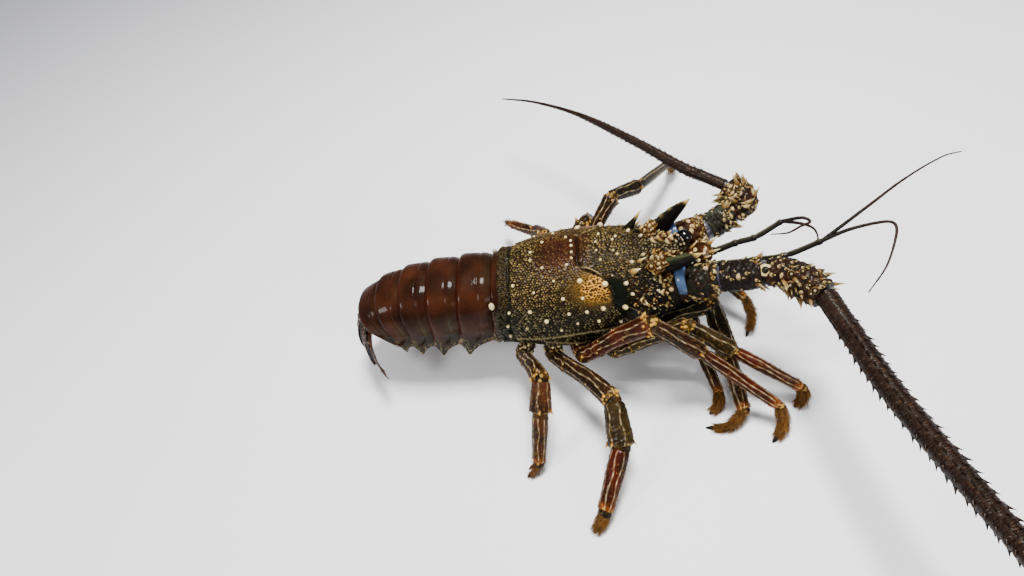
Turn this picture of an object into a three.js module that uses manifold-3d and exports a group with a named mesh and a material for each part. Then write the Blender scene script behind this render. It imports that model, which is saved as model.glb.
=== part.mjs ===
// A spiny lobster as a still, life-size museum model.
// Millimetres, +X towards the head, +Y to the animal's left, +Z up, feet flat at z = 0.
// While it is built, x = 0 is the rear edge of the carapace and y = 0 its midline.
import * as THREE from 'three';
import Module from 'manifold-3d';

const wasm = await Module();
wasm.setup();

// Driving sizes of the body
const CARAPACE_LENGTH = 112;
const CARAPACE_HALF_WIDTH = 37;
const CARAPACE_HEIGHT = 56.5;
const BELLY_HEIGHT = 36;
const ARCH_POWER = 2.25;
const JOINT_GAP = 0.36;

// Parts of the whole length, from the rear edge (0) to the front (1), with the share of the size there
const WIDTH_PROFILE = [[0, 0.2, 0.45, 0.65, 0.85, 1], [0.8, 0.94, 1, 0.94, 0.78, 0.58]];
const TOP_PROFILE = [[0, 0.25, 0.5, 0.75, 1], [0.9, 0.98, 1, 0.95, 0.8]];
const EDGE_PROFILE = [[0, 0.3, 0.7, 1], [0.03, 0, 0.06, 0.26]];

const MATERIALS = {
  shell: new THREE.MeshStandardMaterial({ color: 0x3a3a20, roughness: 0.5, metalness: 0 }),
  tail: new THREE.MeshStandardMaterial({ color: 0x55362a, roughness: 0.3, metalness: 0 }),
  leg: new THREE.MeshStandardMaterial({ color: 0x4a3a22, roughness: 0.4, metalness: 0 }),
  toe: new THREE.MeshStandardMaterial({ color: 0x7a5a22, roughness: 0.6, metalness: 0 }),
  feeler: new THREE.MeshStandardMaterial({ color: 0x2b1d17, roughness: 0.5, metalness: 0 }),
  belly: new THREE.MeshStandardMaterial({ color: 0xa98f5c, roughness: 0.6, metalness: 0 }),
  eye: new THREE.MeshStandardMaterial({ color: 0x0c0b0a, roughness: 0.1, metalness: 0 }),
};

const vec = (p) => new THREE.Vector3(p[0], p[1], p[2]);
const mix = (a, b, t) => a + (b - a) * t;

// A smooth curve through the knots: cubic pieces whose slopes are the mean slopes of the two sides
function smooth([xs, ys], x) {
  const last = xs.length - 1;
  const t = Math.min(Math.max(x, xs[0]), xs[last]);
  let i = 0;
  while (i < last - 1 && t > xs[i + 1]) i += 1;
  const slope = (k) => {
    const a = Math.max(k - 1, 0);
    const b = Math.min(k + 1, last);
    return (ys[b] - ys[a]) / (xs[b] - xs[a]);
  };
  const h = xs[i + 1] - xs[i];
  const s = (t - xs[i]) / h;
  const rise = s * s * (3 - 2 * s);
  const pullA = s * (1 - s) * (1 - s) * h * slope(i);
  const pullB = s * s * (s - 1) * h * slope(i + 1);
  return mix(ys[i], ys[i + 1], rise) + pullA + pullB;
}

// A closed solid from rings of points: walls between the rings and a fan on each end
function loft(rings) {
  const sides = rings[0].length;
  const vertices = [];
  const triangles = [];
  for (const ring of rings) for (const p of ring) vertices.push(p.x, p.y, p.z);
  for (let i = 0; i < rings.length - 1; i += 1) {
    for (let j = 0; j < sides; j += 1) {
      const a = i * sides + j;
      const b = i * sides + ((j + 1) % sides);
      triangles.push(a, b, b + sides, a, b + sides, a + sides);
    }
  }
  for (const [row, turn] of [[0, true], [rings.length - 1, false]]) {
    const centre = rings[row].reduce((sum, p) => sum.add(p), new THREE.Vector3()).divideScalar(sides);
    const hub = vertices.length / 3;
    vertices.push(centre.x, centre.y, centre.z);
    for (let j = 0; j < sides; j += 1) {
      const a = row * sides + j;
      const b = row * sides + ((j + 1) % sides);
      if (turn) triangles.push(hub, b, a);
      else triangles.push(hub, a, b);
    }
  }
  let volume = 0;
  const corner = (k) => new THREE.Vector3(...vertices.slice(3 * k, 3 * k + 3));
  for (let k = 0; k < triangles.length; k += 3) {
    const [a, b, c] = [triangles[k], triangles[k + 1], triangles[k + 2]].map(corner);
    volume += a.dot(b.cross(c));
  }
  if (volume < 0) {
    for (let k = 0; k < triangles.length; k += 3) {
      [triangles[k], triangles[k + 1]] = [triangles[k + 1], triangles[k]];
    }
  }
  return new wasm.Manifold(new wasm.Mesh({
    numProp: 3,
    vertProperties: new Float32Array(vertices),
    triVerts: new Uint32Array(triangles),
  }));
}

// A limb along a smooth path through the points. The radius list is spread evenly over the path or,
// where places are given, at those shares of it. Flatness is the height of the section over its width.
function limb(points, radii, { sides = 8, steps = 8, flatness = 1, up = [0, 0, 1], places = null } = {}) {
  const path = new THREE.CatmullRomCurve3(points.map(vec), false, 'centripetal');
  const knots = places || radii.map((r, i) => i / (radii.length - 1));
  const rings = [];
  for (let i = 0; i <= steps; i += 1) {
    const u = i / steps;
    const centre = path.getPointAt(u);
    const along = path.getTangentAt(u);
    const across = new THREE.Vector3().crossVectors(along, vec(up)).normalize();
    const over = new THREE.Vector3().crossVectors(across, along).normalize();
    const r = smooth([knots, radii], u);
    const ring = [];
    for (let j = 0; j < sides; j += 1) {
      const angle = (2 * Math.PI * j) / sides;
      ring.push(centre.clone()
        .addScaledVector(across, r * Math.cos(angle))
        .addScaledVector(over, r * flatness * Math.sin(angle)));
    }
    rings.push(ring);
  }
  return loft(rings);
}

// A spine is a cone with a slightly blunt tip
function spine(base, tip, radius, sides = 5) {
  return limb([base, tip], [radius, radius * 0.12], { sides, steps: 1, up: [0.3, 0.9, 0.2] });
}

// The half of a solid in front of or behind a plane through a joint, less half the joint's gap
function cutAtJoint(solid, point, normal, keep) {
  const n = vec(normal).normalize().multiplyScalar(keep);
  return solid.trimByPlane([n.x, n.y, n.z], n.dot(vec(point)) + JOINT_GAP / 2);
}

// The point that lies a little past b on the line from a to b
function beyond(a, b, extra) {
  return vec(b).add(vec(b).sub(vec(a)).setLength(extra)).toArray();
}

// The direction in the middle of a bend, from the points before, at and after it
function bendNormal(before, at, after) {
  const a = vec(at).sub(vec(before)).normalize();
  const b = vec(after).sub(vec(at)).normalize();
  return a.add(b).normalize().toArray();
}

const group = new THREE.Group();

function addNode(name, solid, material) {
  const { vertProperties, triVerts } = solid.getMesh();
  const geometry = new THREE.BufferGeometry();
  geometry.setAttribute('position', new THREE.BufferAttribute(new Float32Array(vertProperties), 3));
  geometry.setIndex(new THREE.BufferAttribute(new Uint32Array(triVerts), 1));
  geometry.computeVertexNormals();
  const mesh = new THREE.Mesh(geometry, material);
  mesh.name = name;
  group.add(mesh);
  return mesh;
}

// The left frontal horn, from its root to its tip over the eye, and the larger spines behind and below it
const HORN = {
  path: [[90, 13, 75], [103, 17, 85], [113, 20.5, 93], [122.5, 23, 100]],
  radii: [7, 6.5, 4.6, 0.8],
  flatness: 0.62,
};
const FRONT_SPINES = [
  { base: [82, 18, 80], tip: [92, 23, 95], radius: 3.4 },
  { base: [68, 20, 84], tip: [77, 24, 97], radius: 3 },
  { base: [94, 24, 68], tip: [106, 32, 76], radius: 3.4 },
  { base: [82, 27, 66], tip: [92, 37, 72], radius: 3 },
];

// Carapace: a high arch, widest in the middle, closed below, with the two frontal horns over the eyes.
// u runs from the rear edge to the front, and v from the right lower edge over the back to the left one.
const ARCH_TURN = Math.PI * 0.59;
const SHOULDER = 0.4;
function carapacePoint(u, v) {
  const width = smooth(WIDTH_PROFILE, u) * CARAPACE_HALF_WIDTH;
  const top = smooth(TOP_PROFILE, u) * CARAPACE_HEIGHT + BELLY_HEIGHT;
  const edge = smooth(EDGE_PROFILE, u) * CARAPACE_HEIGHT + BELLY_HEIGHT;
  const middle = edge + SHOULDER * (top - edge);
  const turn = v * ARCH_TURN;
  const s = Math.sin(turn);
  const c = Math.cos(turn);
  const y = width * Math.sign(s) * Math.abs(s) ** (2 / ARCH_POWER);
  const z = c >= 0
    ? middle + (top - middle) * c ** (2 / ARCH_POWER)
    : middle - (middle - edge) * (c / Math.cos(ARCH_TURN));
  return new THREE.Vector3(u * CARAPACE_LENGTH, y, z);
}

function carapace() {
  const rings = [];
  const rows = 11;
  const arch = 18;
  for (let i = 0; i <= rows; i += 1) {
    const ring = [];
    for (let j = 0; j <= arch; j += 1) ring.push(carapacePoint(i / rows, -1 + (2 * j) / arch));
    rings.push(ring);
  }
  let solid = loft(rings);
  for (const side of [-1, 1]) {
    const mirror = ([x, y, z]) => [x, y * side, z];
    solid = solid.add(limb(HORN.path.map(mirror), HORN.radii,
      { sides: 8, steps: 6, flatness: HORN.flatness, up: [0, 1, 0] }));
    for (const { base, tip, radius } of FRONT_SPINES) {
      solid = solid.add(spine(mirror(base), mirror(tip), radius));
    }
  }
  return solid;
}
addNode('carapace', carapace(), MATERIALS.shell);

// Sternum: the wedge-shaped plate under the carapace, broad behind and narrow in front. Each station is
// the place along the body, half the width and the depth.
const STERNUM = [[2, 20, 6], [20, 19.5, 8], [40, 17, 8], [62, 13.5, 7], [84, 9, 5]];
function sternum() {
  const topZ = BELLY_HEIGHT - JOINT_GAP;
  const rings = [];
  for (const [x, half, drop] of STERNUM) {
    rings.push([
      [x, -half, topZ], [x, half, topZ], [x, half, topZ - 0.6 * drop],
      [x, 0.6 * half, topZ - drop], [x, -0.6 * half, topZ - drop], [x, -half, topZ - 0.6 * drop],
    ].map(vec));
  }
  return loft(rings);
}
addNode('sternum', sternum(), MATERIALS.belly);

// Abdomen: six hoops that bend down one after another. Each station is a hoop edge: the length of the
// piece before it, the pitch down, half the width, and the height from the back to the side lobes.
const ABDOMEN_START = [-JOINT_GAP, 84];
const ABDOMEN = [
  { length: 0, pitch: 0, half: 28, height: 44 },
  { length: 8, pitch: 0, half: 27.5, height: 44 },
  { length: 23, pitch: 0, half: 27.5, height: 44 },
  { length: 22, pitch: 4, half: 27, height: 43 },
  { length: 21, pitch: 11, half: 25.5, height: 40 },
  { length: 20, pitch: 23, half: 23, height: 35 },
  { length: 20, pitch: 42, half: 20, height: 29 },
];
const rad = THREE.MathUtils.degToRad;

// The frame of each hoop edge: the point on the back, the way back along the body, and the way up
const hoops = [];
{
  let [x, z] = ABDOMEN_START;
  let before = ABDOMEN[0].pitch;
  for (const { length, pitch, half, height } of ABDOMEN) {
    const mean = rad((before + pitch) / 2);
    x -= length * Math.cos(mean);
    z -= length * Math.sin(mean);
    hoops.push({ x, z, pitch: rad(pitch), half, height });
    before = pitch;
  }
}

function hoopPoint(hoop, back, across, down) {
  const c = Math.cos(hoop.pitch);
  const s = Math.sin(hoop.pitch);
  return new THREE.Vector3(
    hoop.x - back * c + down * s,
    across,
    hoop.z - back * s - down * c,
  );
}

// One hoop edge as a closed outline: over the back from lobe to lobe, and back under the flesh
const HOOP_TURN = Math.PI * 0.56;
const HOOP_POWER = 0.86;
const HOOP_SHOULDER = 0.62;
function hoopRing(hoop, back, lobe) {
  const points = [];
  const arch = 12;
  for (let j = 0; j <= arch; j += 1) {
    const turn = -HOOP_TURN + (2 * HOOP_TURN * j) / arch;
    const s = Math.sin(turn);
    const c = Math.cos(turn);
    const across = hoop.half * Math.sign(s) * Math.abs(s) ** HOOP_POWER;
    const middle = HOOP_SHOULDER * hoop.height;
    const down = c >= 0
      ? middle * (1 - c ** HOOP_POWER)
      : middle + (hoop.height - middle) * (c / Math.cos(HOOP_TURN));
    const extra = j === 0 || j === arch ? lobe : 0;
    points.push(hoopPoint(hoop, back, across, down + extra));
  }
  for (const [share, depth] of [[0.8, 0.86], [0.4, 0.72], [-0.4, 0.72], [-0.8, 0.86]]) {
    points.push(hoopPoint(hoop, back, hoop.half * share, hoop.height * depth));
  }
  return points;
}

function blendHoop(a, b, t) {
  return {
    x: mix(a.x, b.x, t), z: mix(a.z, b.z, t), pitch: mix(a.pitch, b.pitch, t),
    half: mix(a.half, b.half, t), height: mix(a.height, b.height, t),
  };
}

// How far the pointed side lobe of each piece hangs below its edge
const LOBES = [2, 9, 9, 8, 7, 3];
const LOBE_SHAPE = [[0, 0], [0.35, 0.4], [0.68, 1], [1, 0.15]];
for (let k = 0; k < 6; k += 1) {
  const rings = [];
  for (const [t, share] of LOBE_SHAPE) {
    const shift = t === 0 ? JOINT_GAP / 2 : t === 1 ? -JOINT_GAP / 2 : 0;
    rings.push(hoopRing(blendHoop(hoops[k], hoops[k + 1], t), shift, LOBES[k] * share));
  }
  addNode(`abdomen_${k + 1}`, loft(rings), MATERIALS.tail);
}

// Tail fan: the telson between two pairs of uropods, bent on downwards. Across it the fan is an arch,
// and the outer blades lie under the inner ones.
const FAN_LENGTH = 50;
const FAN_THICKNESS = 2;
const FAN_CURL = 62;
const FAN_SAG = 0.011;
const FAN_ROOT_GAP = 0.4;
function fanBlade({ rootAcross, rootHalf, tipAcross, tipHalf, lift, length }) {
  const end = hoops[6];
  const curl = rad(FAN_CURL) / FAN_LENGTH;
  const rings = [];
  const rows = 6;
  for (let i = 0; i <= rows; i += 1) {
    const t = i / rows;
    const along = FAN_ROOT_GAP + length * t;
    const bend = end.pitch + curl * along;
    const x = end.x - (Math.sin(bend) - Math.sin(end.pitch)) / curl;
    const z = end.z - (Math.cos(end.pitch) - Math.cos(bend)) / curl;
    const centre = mix(rootAcross, tipAcross, t ** 0.9);
    const round = Math.sqrt(1 - 0.84 * Math.max(0, (t - 0.7) / 0.3) ** 2);
    const half = mix(rootHalf, tipHalf, Math.sin((t * Math.PI) / 2)) * round;
    const ring = [];
    const face = (across, side) => {
      const under = lift + FAN_SAG * across * across + side * FAN_THICKNESS / 2;
      ring.push(new THREE.Vector3(x + under * Math.sin(bend), across, z - under * Math.cos(bend)));
    };
    for (const s of [-1, -0.5, 0, 0.5, 1]) face(centre + half * s, -1);
    for (const s of [1, 0.5, 0, -0.5, -1]) face(centre + half * s, 1);
    rings.push(ring);
  }
  return loft(rings);
}
addNode('telson', fanBlade({
  rootAcross: 0, rootHalf: 9.5, tipAcross: 0, tipHalf: 12.5, lift: 4, length: FAN_LENGTH - 1,
}), MATERIALS.tail);
for (const [side, word] of [[-1, 'right'], [1, 'left']]) {
  addNode(`uropod_inner_${word}`, fanBlade({
    rootAcross: 8.5 * side, rootHalf: 4.5, tipAcross: 18 * side, tipHalf: 12.5, lift: 7, length: FAN_LENGTH,
  }), MATERIALS.tail);
  addNode(`uropod_outer_${word}`, fanBlade({
    rootAcross: 12.5 * side, rootHalf: 4, tipAcross: 34 * side, tipHalf: 13, lift: 10, length: FAN_LENGTH - 3,
  }), MATERIALS.tail);
}

// Legs: the joints of each leg as it stands, from the hip to the toe. Legs 1 to 5 count from the head.
// thick is half the width of the long first part at its knee end, and stout widens the part after it.
const LEGS = {
  right_1: {
    thick: 5.2,
    joints: [[72, -17, 28], [80, -25, 29], [131, -17, 42], [137, -45, 22], [141.4, -78, 8], [117, -84, 0]],
  },
  right_2: {
    thick: 5.0,
    joints: [[57, -20, 28], [65, -36, 25.5], [114, -39, 50], [138.3, -52, 38], [178, -68, 13], [173, -74, 0]],
  },
  right_3: {
    thick: 5.2,
    joints: [[41, -22, 26], [45, -42, 33], [90.5, -46, 67], [118.5, -55, 44], [162, -80, 14], [155, -97, 0]],
  },
  right_4: {
    thick: 5.0, stout: 1.32,
    joints: [[23, -24, 28], [24, -36, 27], [62, -79, 36], [64, -104, 24], [50, -138, 8], [42, -147, 0]],
  },
  right_5: {
    thick: 4.8, stout: 1.26,
    joints: [[6, -24, 28], [2, -33, 27], [18.6, -67, 48], [16, -83, 36], [10, -104, 8], [1, -110, 0]],
  },
  left_1: {
    thick: 5.0,
    joints: [[72, 17, 28], [80, 20, 26], [117, -5, 27], [121, -33, 16], [129, -64, 7], [121, -75, 0]],
  },
  left_2: {
    thick: 5.0,
    joints: [[57, 20, 28], [63, 30, 29], [106, 44, 50], [131, 22, 38], [157, 0, 20], [155, -18, 0]],
  },
  left_3: {
    thick: 5.2,
    joints: [[41, 22, 26], [45, 40, 31], [75, 78, 60], [95, 95, 50], [124, 149, 22], [127, 161, 0]],
  },
  left_4: {
    thick: 5.0, stout: 1.2,
    joints: [[23, 24, 28], [25, 36, 28], [53, 59, 55], [53, 80, 34], [48, 101, 9], [46, 110, 0]],
  },
  left_5: {
    thick: 4.6, stout: 1.1,
    joints: [[6, 24, 28], [2, 34, 28], [22, 61, 46], [12, 75, 36], [-10, 97, 26], [-17, 107, 20]],
  },
};

const TOE_BULGE = 0.2;
const TOE_TIP = 0.8;
const LEG_SIDES = 6;
function legParts({ joints, thick, stout = 1 }) {
  const [hip, ischium, knee, ankle, foot, toe] = joints;
  const length = (a, b) => vec(b).distanceTo(vec(a));
  const upperShare = length(hip, ischium) / (length(hip, ischium) + length(ischium, knee));
  const shankShare = length(knee, ankle) / (length(knee, ankle) + length(ankle, foot));
  const plane = vec(knee).sub(vec(hip)).cross(vec(ankle).sub(vec(knee)));
  const up = plane.length() > 1 ? plane.normalize().toArray() : [0, 0, 1];
  const kneeNormal = bendNormal(ischium, knee, ankle);
  const footNormal = bendNormal(ankle, foot, toe);

  let upper = limb([hip, ischium, knee, beyond(ischium, knee, 4)],
    [thick * 1.15, thick * 0.95, thick * 0.78, thick * 0.92, thick, thick * 0.9],
    { sides: LEG_SIDES, steps: 6, up, flatness: 0.9,
      places: [0, upperShare * 0.7, upperShare * 1.25, 0.6, 0.9, 1] });
  upper = cutAtJoint(upper, knee, kneeNormal, -1);

  let shank = limb([beyond(ankle, knee, 3), ankle, foot, beyond(ankle, foot, 3)],
    [0.8, 0.95, 0.76, 0.64, 0.58].map((share) => thick * share * stout),
    { sides: LEG_SIDES, steps: 7, up, flatness: 0.9,
      places: [0, shankShare * 0.9, shankShare * 1.3, 0.75, 1] });
  shank = cutAtJoint(shank, knee, kneeNormal, 1);
  shank = cutAtJoint(shank, foot, footNormal, -1);

  // The toe goes on the way the shank points and curls down to its tip
  const chord = vec(toe).sub(vec(foot));
  const ahead = vec(foot).sub(vec(ankle)).normalize();
  const bulge = ahead.addScaledVector(chord, -ahead.dot(chord) / chord.lengthSq());
  const middle = vec(foot).lerp(vec(toe), 0.5).addScaledVector(bulge, TOE_BULGE * chord.length()).toArray();
  let dactyl = limb([beyond(middle, foot, 2), foot, middle, toe],
    [thick * 0.56, thick * 0.52, thick * 0.36, TOE_TIP], { sides: LEG_SIDES, steps: 5, up });
  dactyl = cutAtJoint(dactyl, foot, footNormal, 1);
  return { upper, shank, dactyl: dactyl.trimByPlane([0, 0, 1], 0) };
}
for (const [name, leg] of Object.entries(LEGS)) {
  const { upper, shank, dactyl } = legParts(leg);
  addNode(`leg_${name}_upper`, upper, MATERIALS.leg);
  addNode(`leg_${name}_shank`, shank, MATERIALS.leg);
  addNode(`leg_${name}_dactyl`, dactyl, MATERIALS.toe);
}

// Eyes: round, on short stalks under the frontal horns
const EYE = { x: 117.3, across: 10.5, z: 79, radius: 5.3 };
const EYE_PROFILE = { places: [0, 0.2, 0.5, 0.8, 1], shares: [0.1, 0.8, 1, 0.8, 0.1] };
function eyeball(side, extra) {
  const r = EYE.radius + extra;
  const at = (x) => [x, EYE.across * side, EYE.z];
  return limb([at(EYE.x - r), at(EYE.x), at(EYE.x + r)], EYE_PROFILE.shares.map((share) => share * r),
    { sides: 9, steps: 7, places: EYE_PROFILE.places });
}
const FRONT_PLANE = [CARAPACE_LENGTH, 0, 0];
for (const [side, word] of [[-1, 'right'], [1, 'left']]) {
  addNode(`eye_${word}`, cutAtJoint(eyeball(side, 0), FRONT_PLANE, [1, 0, 0], 1), MATERIALS.eye);
}

// Antennular plate: the ridge between the two antennae, with two pairs of spines on its front edge
function antennularPlate() {
  let solid = limb([[110, 0, 66], [122, 0, 72], [133, 0, 76]], [6.6, 6.6, 8.5, 6.5],
    { sides: 8, steps: 4, flatness: 0.42, up: [0, 0, 1] });
  for (const side of [-1, 1]) {
    solid = solid.add(spine([130, 3 * side, 76], [137, 5.5 * side, 82], 2.6));
    solid = solid.add(spine([126, 6 * side, 74], [131, 8.5 * side, 80.5], 2.2));
  }
  return cutAtJoint(solid, FRONT_PLANE, [1, 0, 0], 1);
}
addNode('antennular_plate', antennularPlate(), MATERIALS.shell);

// Antennae: three stout spiny articles and a long tapering flagellum in two lengths. stem holds the
// joints of the articles, and whip the points of the flagellum from its root to its tip.
const ANTENNAE = {
  right: {
    stem: [[106, -18.5, 67.5], [134, -23, 75], [158, -28, 82], [184, -53, 87]],
    bow: [169.5, -33.5, 85],
    stemRadii: [10.2, 8.8, 8.2, 7.4],
    whip: [[184, -53, 87], [188, -79, 90], [194.5, -112, 92], [202, -140, 94], [216, -187, 98],
      [232, -240, 100], [246, -300, 98], [252, -372, 92]],
    whipRadii: [5.8, 5.6, 5.3, 4.6, 3.7, 2.4, 0.8],
  },
  left: {
    stem: [[106, 18.5, 67.5], [133, 21, 73], [149, 28, 77], [148, 42, 89]],
    bow: [157, 32, 83],
    stemRadii: [10.2, 8.8, 8.2, 7.4],
    whip: [[148, 42, 89], [134, 54, 90], [124, 65, 89], [95, 102, 88], [55, 152, 83],
      [19, 187, 77], [-12, 211, 70]],
    whipRadii: [3.8, 3.6, 3.1, 2.6, 1.5, 1.0, 0.5],
  },
};
const SPINE_TURNS = 5;
for (const [word, antenna] of Object.entries(ANTENNAE)) {
  const side = word === 'left' ? 1 : -1;
  const { stem, bow, stemRadii, whip, whipRadii } = antenna;
  const along = (a, b, t) => vec(a).lerp(vec(b), t);
  const firstCut = bendNormal(stem[0], stem[1], stem[2]);
  const secondCut = bendNormal(stem[1], stem[2], bow);
  const thirdCut = bendNormal(bow, stem[3], whip[1]);

  let first = limb([stem[0], stem[1], beyond(stem[0], stem[1], 3)], [stemRadii[0], stemRadii[0], stemRadii[1]],
    { sides: 9, steps: 3 });
  first = first.subtract(eyeball(side, JOINT_GAP));
  first = cutAtJoint(cutAtJoint(first, FRONT_PLANE, [1, 0, 0], 1), stem[1], firstCut, -1);

  let second = limb([beyond(stem[2], stem[1], 2), stem[1], stem[2], beyond(stem[1], stem[2], 3)],
    [stemRadii[1] * 0.95, stemRadii[1], stemRadii[2] * 0.95], { sides: 9, steps: 3 });

  let third = limb([beyond(bow, stem[2], 2), stem[2], bow, stem[3], beyond(bow, stem[3], 2)],
    [stemRadii[2] * 0.9, stemRadii[2], stemRadii[2] * 1.12, stemRadii[3], stemRadii[3] * 0.8],
    { sides: 9, steps: 6 });
  for (let k = 0; k < SPINE_TURNS; k += 1) {
    const turn = (2 * Math.PI * k) / SPINE_TURNS + 0.4;
    const out = new THREE.Vector3(0, Math.cos(turn), Math.sin(turn));
    const upperRoot = along(stem[1], stem[2], 0.75).addScaledVector(out, stemRadii[2] * 0.7);
    const upperTip = along(stem[1], stem[2], 1.0).addScaledVector(out, stemRadii[2] * 1.55);
    second = second.add(spine(upperRoot.toArray(), upperTip.toArray(), 2.2));
    const axis = vec(stem[3]).sub(vec(bow)).normalize();
    const sideways = new THREE.Vector3().crossVectors(axis, vec([0.2, 0.1, 1])).normalize();
    const spoke = sideways.applyAxisAngle(axis, turn);
    const root = along(bow, stem[3], 0.75).addScaledVector(spoke, stemRadii[3] * 0.75);
    const tip = along(bow, stem[3], 1.1).addScaledVector(spoke, stemRadii[3] * 1.9);
    third = third.add(spine(root.toArray(), tip.toArray(), 2.2));
  }
  second = cutAtJoint(cutAtJoint(second, stem[1], firstCut, 1), stem[2], secondCut, -1);
  third = cutAtJoint(cutAtJoint(third, stem[2], secondCut, 1), stem[3], thirdCut, -1);

  const flagellum = limb(whip, whipRadii, { sides: 7, steps: 20 });
  const path = new THREE.CatmullRomCurve3(whip.map(vec), false, 'centripetal');
  const middle = path.getPointAt(0.5).toArray();
  const middleCut = path.getTangentAt(0.5).toArray();
  const lower = cutAtJoint(cutAtJoint(flagellum, stem[3], thirdCut, 1), middle, middleCut, -1);
  const outer = cutAtJoint(flagellum, middle, middleCut, 1);
  addNode(`antenna_${word}_article_1`, first, MATERIALS.shell);
  addNode(`antenna_${word}_article_2`, second, MATERIALS.shell);
  addNode(`antenna_${word}_article_3`, third, MATERIALS.shell);
  addNode(`antenna_${word}_flagellum_root`, lower, MATERIALS.feeler);
  addNode(`antenna_${word}_flagellum_tip`, outer, MATERIALS.feeler);
}

// Antennules: a thin stalk of three pieces that forks into two whips
const ANTENNULES = {
  right: {
    stalk: [[136, -4, 70], [157, -11, 75], [173, -15, 80], [192, -14, 88]],
    whips: [
      [[192, -14, 88], [219, -1, 99], [239, 8, 108], [258, 14, 115], [266, 12, 119]],
      [[192, -14, 88], [207, -12, 93], [224, -13, 97], [228, -17, 98], [226, -25, 96],
        [217, -41, 92], [205, -54, 88]],
    ],
  },
  left: {
    stalk: [[136, 4, 70], [149, 5, 74], [160, 5, 77], [176, 10, 83]],
    whips: [
      [[176, 10, 83], [187, 8, 86], [190, 3, 87], [184, 1, 86], [177, -1, 84], [168, 3, 80]],
      [[176, 10, 83], [186, 4, 85], [191, -2, 86], [192, -8, 84], [189, -11, 83]],
    ],
  },
};
for (const [word, { stalk, whips }] of Object.entries(ANTENNULES)) {
  let solid = limb(stalk, [2.6, 2.3, 2.1, 1.7], { sides: 6, steps: 5 });
  for (const whip of whips) solid = solid.add(limb(whip, [1.2, 0.9, 0.5], { sides: 5, steps: 8 }));
  addNode(`antennule_${word}`, solid, MATERIALS.feeler);
}

// Third maxillipeds: the leg-like mouth feet, held forward under the head
for (const [side, word] of [[-1, 'right'], [1, 'left']]) {
  const mouthFoot = limb([[88, 8 * side, 33], [106, 9 * side, 41], [121, 8 * side, 47], [126, 7 * side, 38]],
    [3.6, 3.4, 2.8, 2.4, 1.6], { sides: 7, steps: 7, up: [0, 1, 0] });
  addNode(`maxilliped_${word}`, mouthFoot, MATERIALS.leg);
}

const bounds = new THREE.Box3().setFromObject(group);
group.position.set(
  -(bounds.min.x + bounds.max.x) / 2,
  -(bounds.min.y + bounds.max.y) / 2,
  -bounds.min.z,
);

export default group;
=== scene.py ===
# The visual model of a spiny lobster as a still, life-size museum figure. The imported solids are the
# frame, and every shell plate, leg, feeler and bristle here is a surface worked out over them. Lengths
# are millimetres from the middle of the carapace's rear edge, which placed() turns into metres in the
# frame.
import itertools
import bpy
import numpy as np
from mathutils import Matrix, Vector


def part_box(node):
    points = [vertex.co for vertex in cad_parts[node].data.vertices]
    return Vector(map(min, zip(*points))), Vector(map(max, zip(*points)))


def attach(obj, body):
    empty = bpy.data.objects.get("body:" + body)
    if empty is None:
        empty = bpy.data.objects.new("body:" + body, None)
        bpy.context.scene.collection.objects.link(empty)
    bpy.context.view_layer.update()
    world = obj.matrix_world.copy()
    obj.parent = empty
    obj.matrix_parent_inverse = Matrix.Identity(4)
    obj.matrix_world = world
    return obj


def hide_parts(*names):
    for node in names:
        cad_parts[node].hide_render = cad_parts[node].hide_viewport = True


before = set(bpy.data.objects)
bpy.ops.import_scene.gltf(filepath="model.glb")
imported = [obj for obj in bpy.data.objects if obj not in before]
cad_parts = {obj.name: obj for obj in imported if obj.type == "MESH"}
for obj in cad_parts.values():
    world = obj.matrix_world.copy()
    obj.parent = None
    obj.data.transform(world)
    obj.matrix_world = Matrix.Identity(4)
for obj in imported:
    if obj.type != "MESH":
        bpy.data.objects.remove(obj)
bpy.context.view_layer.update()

# Carapace: the great shield over the head and chest. It is one piece of horny shell, arched over the
# back, with a deep groove across it, and covered with rows of small round granules between larger pale
# knobs.
MILLIMETRE = 0.001
CARAPACE_LENGTH = 112.0
CARAPACE_HALF_WIDTH = 37.0
CARAPACE_HEIGHT = 56.5
BELLY_HEIGHT = 36.0
ARCH_POWER = 2.25
ARCH_TURN = np.pi * 0.59
SHOULDER = 0.4
# The shield's half width, top and lower edge, each as places along it from the rear and shares of the
# measures above, and the groove as places down from the midline and how far along it runs there
WIDTH_PROFILE = ([0, 0.2, 0.45, 0.65, 0.85, 1], [0.8, 0.94, 1, 0.94, 0.78, 0.58])
TOP_PROFILE = ([0, 0.25, 0.5, 0.75, 1], [0.9, 0.98, 1, 0.95, 0.8])
EDGE_PROFILE = ([0, 0.3, 0.7, 1], [0.03, 0, 0.06, 0.26])
GROOVE = ([0, 0.18, 0.33, 0.47, 0.7, 0.9, 1], [0.445, 0.45, 0.575, 0.61, 0.63, 0.72, 0.78])
REAR_CORNER = 5.0
shield_low, shield_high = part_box("carapace")
rear_edge = np.array([shield_low[0], (shield_low[1] + shield_high[1]) / 2, 0.0])


def placed(points):
    """Millimetres from the carapace's rear edge, as metres in the frame."""
    return np.asarray(points) * MILLIMETRE + rear_edge


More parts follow.
